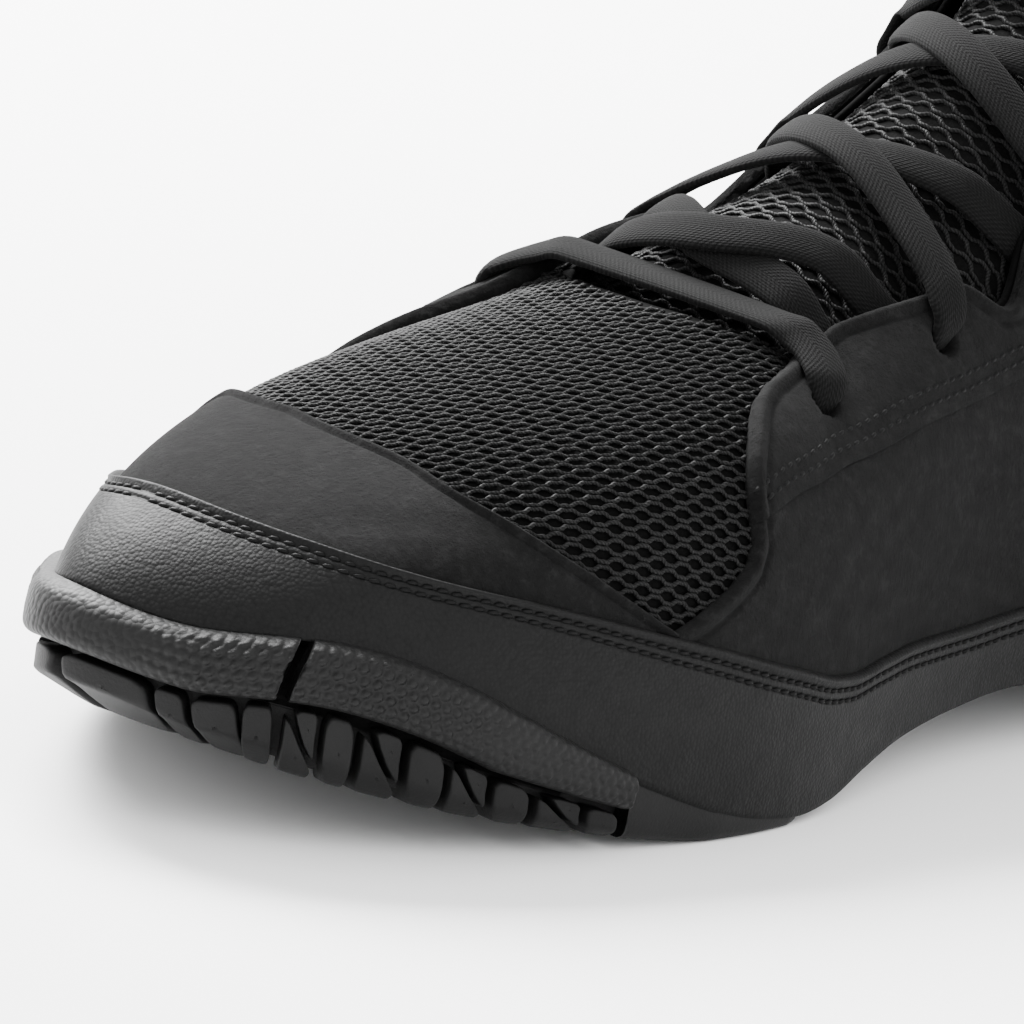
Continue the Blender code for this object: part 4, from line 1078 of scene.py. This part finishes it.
pins = np.array([0, len(grid_t) - 1]) + len(grid_s) // 2 * len(grid_t)
pinned = np.array([0, np.linalg.norm(np.diff(solid[len(grid_s) // 2], axis=0), axis=1).sum()], complex)
free = np.setdiff1d(np.arange(system.shape[1]), pins)
block = system[:, free]
answer = np.zeros(system.shape[1], complex)
answer[pins] = pinned
answer[free] = np.linalg.solve(block.conj().T @ block, -block.conj().T @ (system[:, pins] @ pinned))
flat = np.stack([answer.real, answer.imag], -1).reshape(*solid.shape[:2], 2)
scale = np.linalg.norm(np.diff(flat, axis=0), axis=-1) / np.linalg.norm(np.diff(solid, axis=0), axis=-1)
print("the flat vamp is %.2f to %.2f of its true size" % (scale.min(), scale.max()))


def grid_value(values, i, j):
    """Two-way linear blend of grid values at fractional places, with its slopes along both ways."""
    a = np.clip(np.floor(i).astype(int), 0, values.shape[0] - 2)
    b = np.clip(np.floor(j).astype(int), 0, values.shape[1] - 2)
    x, y = (i - a)[:, None], (j - b)[:, None]
    p, q, r, w = values[a, b], values[a + 1, b], values[a, b + 1], values[a + 1, b + 1]
    value = (1 - x) * (1 - y) * p + x * (1 - y) * q + (1 - x) * y * r + x * y * w
    return value, (1 - y) * (q - p) + y * (w - r), (1 - x) * (r - p) + x * (w - q)


def unflatten(places):
    """Rib and share of points of the plane: the nearest grid point, then short Newton steps on the blend."""
    known = flat.reshape(-1, 2)
    nearest = np.concatenate([((part[:, None] - known[None]) ** 2).sum(-1).argmin(1)
                              for part in np.array_split(places, max(1, len(places) // 4000))])
    i, j = (k.astype(float) for k in np.divmod(nearest, len(grid_t)))
    for turn in range(14):
        value, di, dj = grid_value(flat, i, j)
        miss = places - value
        det = di[:, 0] * dj[:, 1] - di[:, 1] * dj[:, 0]
        det = np.where(np.abs(det) < 1e-9, 1e-9, det)
        step_i = (miss[:, 0] * dj[:, 1] - miss[:, 1] * dj[:, 0]) / det
        step_j = (di[:, 0] * miss[:, 1] - di[:, 1] * miss[:, 0]) / det
        i = np.clip(i + np.clip(step_i, -.7, .7), 0, len(grid_s) - 1)
        j = np.clip(j + np.clip(step_j, -.7, .7), 0, len(grid_t) - 1)
    miss = np.linalg.norm(places - grid_value(flat, i, j)[0], axis=-1)
    return grid_s[0] + i * (grid_s[1] - grid_s[0]), grid_t[0] + j * (grid_t[1] - grid_t[0]), miss < .3 * MM


# %% Yarns of a net
def yarn_net(name, centres, normals, inside, radius):
    """Four-sided tubes along rows of points, kept where inside holds, each stretch closed by a quad."""
    way = unit(np.gradient(centres, axis=1))
    side = unit(np.cross(way, normals))
    over = np.cross(side, way)
    corners = centres[:, :, None] + radius * np.stack([side, over * .9, -side, -over * .9], 2)
    rows, count = inside.shape
    number = np.arange(rows * count * 4).reshape(rows, count, 4)
    both = inside[:, :-1] & inside[:, 1:]
    a, b = number[:, :-1][both], number[:, 1:][both]
    quads = np.stack([a, b, np.roll(b, -1, 1), np.roll(a, -1, 1)], -1).reshape(-1, 4)
    first = np.concatenate([inside[:, :1], ~inside[:, :-1] & inside[:, 1:]], 1)
    last = np.concatenate([inside[:, :-1] & ~inside[:, 1:], inside[:, -1:]], 1)
    faces = np.concatenate([quads, number[first], number[last][:, ::-1]])
    used, faces = np.unique(faces, return_inverse=True)
    faces = faces.reshape(-1, 4)
    points = corners.reshape(-1, 3)[used]
    place = run_along(centres, 1) / MM
    uv = np.stack(np.broadcast_arrays(place[..., None], np.arange(4) * .35), -1).reshape(-1, 2)[used]
    return add_piece(name, points, outward_faces(points, faces), yarn, uv=uv)


# %% Vamp net
ROW_GAP, WAVE, SWING, YARN = 1.20 * MM, 4.3 * MM, .29 * MM, .32 * MM
COLUMN_FOOT, COLUMN_HEAD = (3.025, .390), (2.613, .510)


def plane_place(s, t):
    i, j = (s - grid_s[0]) / (grid_s[1] - grid_s[0]), (t - grid_t[0]) / (grid_t[1] - grid_t[0])
    return grid_value(flat, np.array([i]), np.array([j]))[0][0]


up_way = unit(plane_place(*COLUMN_HEAD) - plane_place(*COLUMN_FOOT))
across_way = np.array([up_way[1], -up_way[0]])
centre = flat.reshape(-1, 2).mean(0)
reach = 95 * MM
row = np.arange(-reach, reach, ROW_GAP)[:, None]
along = np.arange(-reach, reach, WAVE / 12)[None]
flip = np.where(np.arange(len(row)) % 2, 1, -1)[:, None]
wave = np.clip(1.9 * np.sin(2 * math.pi * along / WAVE), -1, 1) * SWING * flip
places = centre + along[..., None] * across_way + (row + wave)[..., None] * up_way
near = (np.abs(places - centre) < 92 * MM).all(-1)
s, t, found = (np.zeros(near.shape) for k in range(3))
s[near], t[near], found[near] = unflatten(places[near])
side = np.abs(s)
front = np.interp(t, FRONT_EDGE[:, 1], FRONT_EDGE[:, 0]) + .16
cap_end = np.maximum(cap_half(np.minimum(side, CAP_EDGE[-1, 0])) - .03, .26)
inside = (found > 0) & (side < front) & (t > cap_end) & (t < .992)
weft = .10 * MM * np.cos(4 * math.pi * along / WAVE) * flip
centres = skin(s, t, -.32 * MM + weft)
normals = unit(skin(s, t, .001) - skin(s, t))
yarn_net("vamp_net", centres, normals, inside, YARN)

# %% [markdown]
# ## The tongue
#
# The tongue is a soft pad that swells out between the two throat edges and is tucked in under them.
# Its surface is a chord from edge to edge plus a parabola. The same net as on the vamp covers it, but
# coarser, so its yarns can be laid directly along the chord, in real millimetres.

# %% Tongue surface
TONGUE_TUCK = 13.5 * MM
swell = open_curve([0, 4.0, 4.8, 5.4, 6.0, 7.0, 8.0, 9.0],
                   np.array([.02, .03, .14, .23, .27, .29, .25, .20]) * THROAT_GAP)


def middle(s):
    return (top_line(s) + top_line(-s)) / 2


def swell_way(s):
    """The direction in which the tongue swells: square to its width and to its run."""
    s = np.asarray(s, float)
    run = middle(np.minimum(s + .06, 9.0)) - middle(np.minimum(s - .06, 8.88))
    return unit(np.cross(run, top_line(-s) - top_line(s)))


TOP_WAY = unit(middle(np.array(9.0)) - middle(np.array(8.9)))


def tongue(s, x, sink=0.0):
    """x runs from -1 to 1 between the edges and to -2 and 2 under them; past rib 9 it goes up by 12 mm."""
    s, x, sink = np.broadcast_arrays(np.asarray(s, float), np.asarray(x, float), np.asarray(sink, float))
    rib = np.minimum(s, 9.0)
    under = np.clip(np.abs(x) - 1, 0, 1)
    inset = 1.5 * MM + under * (TONGUE_TUCK - 1.5 * MM)
    level = -2.9 * MM - 1.1 * MM * np.sin(np.clip(np.abs(x) - .62, 0, 1.38) / 1.38 * math.pi) ** .7
    near, far = (skin(sign * rib, share_from_top(sign * rib, inset), level) for sign in (1, -1))
    place = (np.clip(x, -1, 1) + 1) / 2
    rise = swell(rib) * 4 * place * (1 - place)
    way = swell_way(rib)
    point = near * (1 - place)[..., None] + far * place[..., None] + way * (rise - sink)[..., None]
    return point + TOP_WAY * (np.clip(s - 9.0, 0, 1) * 12 * MM)[..., None]


# %% Tongue pad
s = np.concatenate([np.linspace(.7, 9.0, 130), np.linspace(9.08, 10, 14)])[:, None]
x = np.linspace(-2, 2, 72)[None]
thick = 2.8 * MM * (1 - .35 * np.abs(x / 2) ** 3)
end_round = np.sqrt(np.clip(1 - np.clip((s - 9.75) / .25, 0, 1) ** 2, 0.02, 1))
pad_face = tongue(s, x, .9 * MM * (1 - end_round))
pad_back = tongue(s, x, .9 * MM + thick * end_round)
points, faces = shell(pad_face, pad_back)
tongue_cloth = cloth("padded_tongue_lining", "#030303", "#080808", .6 * MM, .95)
pad = add_piece("tongue_pad", points, outward_faces(points, faces), tongue_cloth, ("tongue",))

# %% Tongue net
NET_GAP, NET_WAVE, NET_SWING, NET_YARN = 1.50 * MM, 5.2 * MM, .36 * MM, .40 * MM
run_s = np.linspace(3.2, 10, 400)
run_length = run_along(tongue(run_s, 0 * run_s))
row = np.arange(1 * MM, run_length[-1] - .6 * MM, NET_GAP)[:, None]
across = np.arange(-30 * MM, 30 * MM, NET_WAVE / 12)[None]
flip = np.where(np.arange(len(row)) % 2, 1, -1)[:, None]
wave = np.clip(1.7 * np.sin(2 * math.pi * across / NET_WAVE), -1, 1) * NET_SWING * flip
s = np.interp(row + wave, run_length, run_s)
cross_x = np.linspace(-1.6, 1.6, 65)
widths = run_along(tongue(run_s[:, None], cross_x[None]), 1)
widths = widths - widths[:, 32:33]
k = (s - run_s[0]) / (run_s[1] - run_s[0])
k = np.clip(np.round(k).astype(int), 0, len(run_s) - 1)
mids = k[:, len(across[0]) // 2]
x = np.array([np.interp(across[0], widths[m], cross_x) for m in mids])
inside = (np.abs(x) < 1.45) & (s > 3.3) & (s < 9.97)
centres = tongue(s, x, -.12 * MM - .10 * MM * np.cos(4 * math.pi * across / NET_WAVE) * flip)
normals = swell_way(np.minimum(s, 9.0))
yarn_net("tongue_net", centres, normals, inside, NET_YARN)

# %% [markdown]
# ## The laces
#
# One flat lace is threaded through plain punched holes. A bar lies on top of the first pair of holes.
# From there each half goes under the throat edge, over the tongue, under the other edge and up
# through the next hole. A strand is a rounded flat section carried along a smooth path through a few
# chosen points: rib, place across the throat and height.

# %% Lace strands
LACE_WIDTH, LACE_THICK = 6.4 * MM, 1.8 * MM


def bridge(s, x, lift):
    """A point over the throat: x is -1 and 1 at its edges; past them each 1 is 10 mm over the eyestay."""
    s, x, lift = np.broadcast_arrays(s, x, lift)
    place = np.clip((x + 1) / 2, 0, 1)
    past = np.maximum(np.abs(x) - 1, 0) * 10 * MM
    near, far = (skin(sign * s, share_from_top(sign * s, past), lift) for sign in (1, -1))
    rise = (swell(s) - 1.2 * MM) * 4 * place * (1 - place)
    return near * (1 - place)[..., None] + far * place[..., None] + swell_way(s) * rise[..., None]


def smooth_path(knots, count):
    """A monotone cubic through each coordinate of the knots, over the length of the chords between them."""
    knots = np.array(knots, float)
    solid = bridge(knots[:, 0], knots[:, 1], knots[:, 2] * MM)
    run = run_along(solid)
    even = np.linspace(0, run[-1], count)
    values = [open_curve(run, knots[:, k])(even) for k in range(3)]
    return values[0], values[1], values[2] * MM, even


def strand(knots, count=110, sides=20):
    """A flat section with round edges along the path, narrower where it goes through a hole."""
    s, x, lift, run = smooth_path(knots, count)
    centre = bridge(s, x, lift)
    kernel = np.hanning(9)[1:-1] / np.hanning(9)[1:-1].sum()
    padded = np.concatenate([centre[:1]] * 3 + [centre] + [centre[-1:]] * 3)
    centre = np.stack([np.convolve(padded[:, k], kernel, "valid") for k in range(3)], -1)
    way = unit(np.gradient(centre, axis=0))
    sidewise = bridge(s + .03, x, lift) - bridge(s, x, lift)
    sidewise = unit(sidewise - (sidewise * way).sum(-1, keepdims=True) * way)
    over = np.cross(way, sidewise)
    over = over * np.sign((over * swell_way(s)).sum(-1).mean())
    ends = np.clip(np.minimum(run, run[-1] - run) / (7 * MM), 0, 1)
    width = (.56 + .44 * ends * ends * (3 - 2 * ends)) * LACE_WIDTH / 2
    thick = (1.25 - .25 * ends) * LACE_THICK / 2
    a = (np.arange(sides) + .5) * 2 * math.pi / sides
    wide, tall = np.sign(np.cos(a)) * np.abs(np.cos(a)) ** .75, np.sign(np.sin(a)) * np.abs(np.sin(a)) ** .8
    ring = (centre[:, None] + sidewise[:, None] * (width[:, None] * wide)[..., None]
            + over[:, None] * (thick[:, None] * tall)[..., None])
    uv = np.stack(np.broadcast_arrays((run / MM)[:, None], (width[:, None] * wide) / MM), -1)
    points, faces = tube(ring)
    return points, faces, uv.reshape(-1, 2)


def add_strands(name, all_knots, replaced):
    parts = [strand(knots) for knots in all_knots]
    points, faces = joined([part[:2] for part in parts])
    uv = np.concatenate([part[2] for part in parts])
    return add_piece(name, points, faces, lace_weave, replaced, uv)


def hole_x(k):
    return 1 + EYELETS[k][1] / 10


TOP, UNDER, DEEP = 2.6, -3.3, -2.6     # heights of a strand's middle over the skin, in millimetres
s0, x0 = EYELETS[0][0], hole_x(0)
over_hole = [(s0, x0, -1.6), (s0 + .02, x0 - .10, 1.2), (s0 + .05, x0 - .32, TOP),
             (s0 + .12, 1.35, TOP + .2), (s0 + .10, .9, TOP + .7)]
bar = [(s, -x, lift) for s, x, lift in over_hole] + [(s0 + .06, 0, TOP + .9)] + over_hole[::-1]
add_strands("lace_bar_strand", [bar], ("lace_bar",))


def crossing(k, side, high):
    """Knots from hole k on one side to hole k + 1 on the other; high lifts it over the other strand."""
    (s1, s2), (x1, x2) = (EYELETS[k][0], EYELETS[k + 1][0]), (hole_x(k), hole_x(k + 1))
    at = [s1 + (s2 - s1) * share for share in (0, .06, .14, .28, .5, .74, .86, .95, 1)]
    if k == 0:
        lead = [(at[0], -x1, -1.0), (at[1], -x1 + .25, UNDER), (s1 + .38, -1.5, UNDER),
                (s1 + .62, -1.0, UNDER + 2.2)]
    else:
        lead = [(at[0], -x1, -.8), (at[0] + .015, -x1 + .09, 1.4), (at[1], -x1 + .24, TOP),
                (at[2], -1.05, TOP + .4)]
    arch = 2.0 if high else 0.0
    body = [(at[3] if k else s1 + .72, -.62, TOP + .2 * arch), (at[4], 0, TOP + .4 + arch),
            (at[5], .6, TOP + .3 * arch - .3)]
    tail = [(at[6], .98, UNDER + 1.5), (at[7], 1.25, UNDER), (at[8], x2 - .2, UNDER), (at[8], x2, DEEP + 1.2)]
    return [(s, x * side, lift) for s, x, lift in lead + body + tail]


for k in range(5):
    add_strands("lace_crossing_%d" % (k + 1), [crossing(k, 1, k > 0), crossing(k, -1, k == 0)],
                ("lace_cross_%d" % (k + 1),))

# %% [markdown]
# ## Floor, light and camera
#
# A catalogue photo: a near-white floor that fills the frame, a wide soft light from the upper left
# and behind, a weaker one from the front, and a pale surround. The camera is far away with a long
# lens, as in the photo, and is rolled by eight degrees.

# %% Floor and light
floor_paint, tree, shader = new_material("matt_white_paper", roughness=.9, specular_ior_level=.1,
                                         base_color=linear("#fbfbfb"))
mesh = bpy.data.meshes.new("floor")
mesh.from_pydata([(-3, -3, 0), (3, -3, 0), (3, 3, 0), (-3, 3, 0)], [], [(0, 1, 2, 3)])
floor = bpy.data.objects.new("floor", mesh)
floor.data.materials.append(floor_paint)
bpy.context.scene.collection.objects.link(floor)
floor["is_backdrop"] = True

world = bpy.data.worlds.new("pale_surround")
world.use_nodes = True
world.node_tree.nodes["Background"].inputs["Color"].default_value = (1, 1, 1, 1)
world.node_tree.nodes["Background"].inputs["Strength"].default_value = 2.3
bpy.context.scene.world = world

TURN, RISE, ROLL = math.radians(49), math.radians(12), math.radians(-8)
back = np.array([-math.sin(TURN) * math.cos(RISE), -math.cos(TURN) * math.cos(RISE), math.sin(RISE)])
right = np.array([math.cos(TURN), -math.sin(TURN), 0])
above = np.cross(back, right)


def soft_light(name, way, distance, size, power):
    """A square area light that looks at the shoe; way is given as shares right, up and towards the camera."""
    aim = unit(way[0] * right + way[1] * above + way[2] * back)
    lamp = bpy.data.lights.new(name, "AREA")
    lamp.size, lamp.energy = size, power
    item = bpy.data.objects.new(name, lamp)
    item.location = Vector(aim * distance)
    item.rotation_euler = Vector(aim).to_track_quat("Z", "Y").to_euler()
    bpy.context.scene.collection.objects.link(item)


soft_light("key_softbox", (-.45, .95, -.55), 1.6, .9, 170)
soft_light("fill_softbox", (.6, .55, .8), 1.8, 1.2, 14)

# %% Camera
PIXELS_PER_METRE, DISTANCE, IMAGE = 7740.0, 1.2, 1024
target, target_pixel = np.array([-.0043, -.0460, 0.0]), (727, 836)
across = math.cos(ROLL) * right - math.sin(ROLL) * above
upward = math.sin(ROLL) * right + math.cos(ROLL) * above
half = IMAGE / 2
centre = (target + (half - target_pixel[0]) / PIXELS_PER_METRE * across
          + (target_pixel[1] - half) / PIXELS_PER_METRE * upward)
lens = bpy.data.cameras.new("camera")
lens.sensor_width = 36
lens.lens = 36 * PIXELS_PER_METRE * DISTANCE / IMAGE
lens.clip_start, lens.clip_end = .05, 20
camera = bpy.data.objects.new("camera", lens)
place = Matrix([list(row) + [0] for row in np.stack([across, upward, back], 1)] + [[0, 0, 0, 1]])
place.translation = centre + back * DISTANCE
camera.matrix_world = place
bpy.context.scene.collection.objects.link(camera)
bpy.context.scene.camera = camera
print("lens: %.0f mm" % lens.lens)

# %% Size and finish
low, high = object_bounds()
print("visual model: %s mm" % [round((b - a) / MM, 1) for a, b in zip(low, high)])
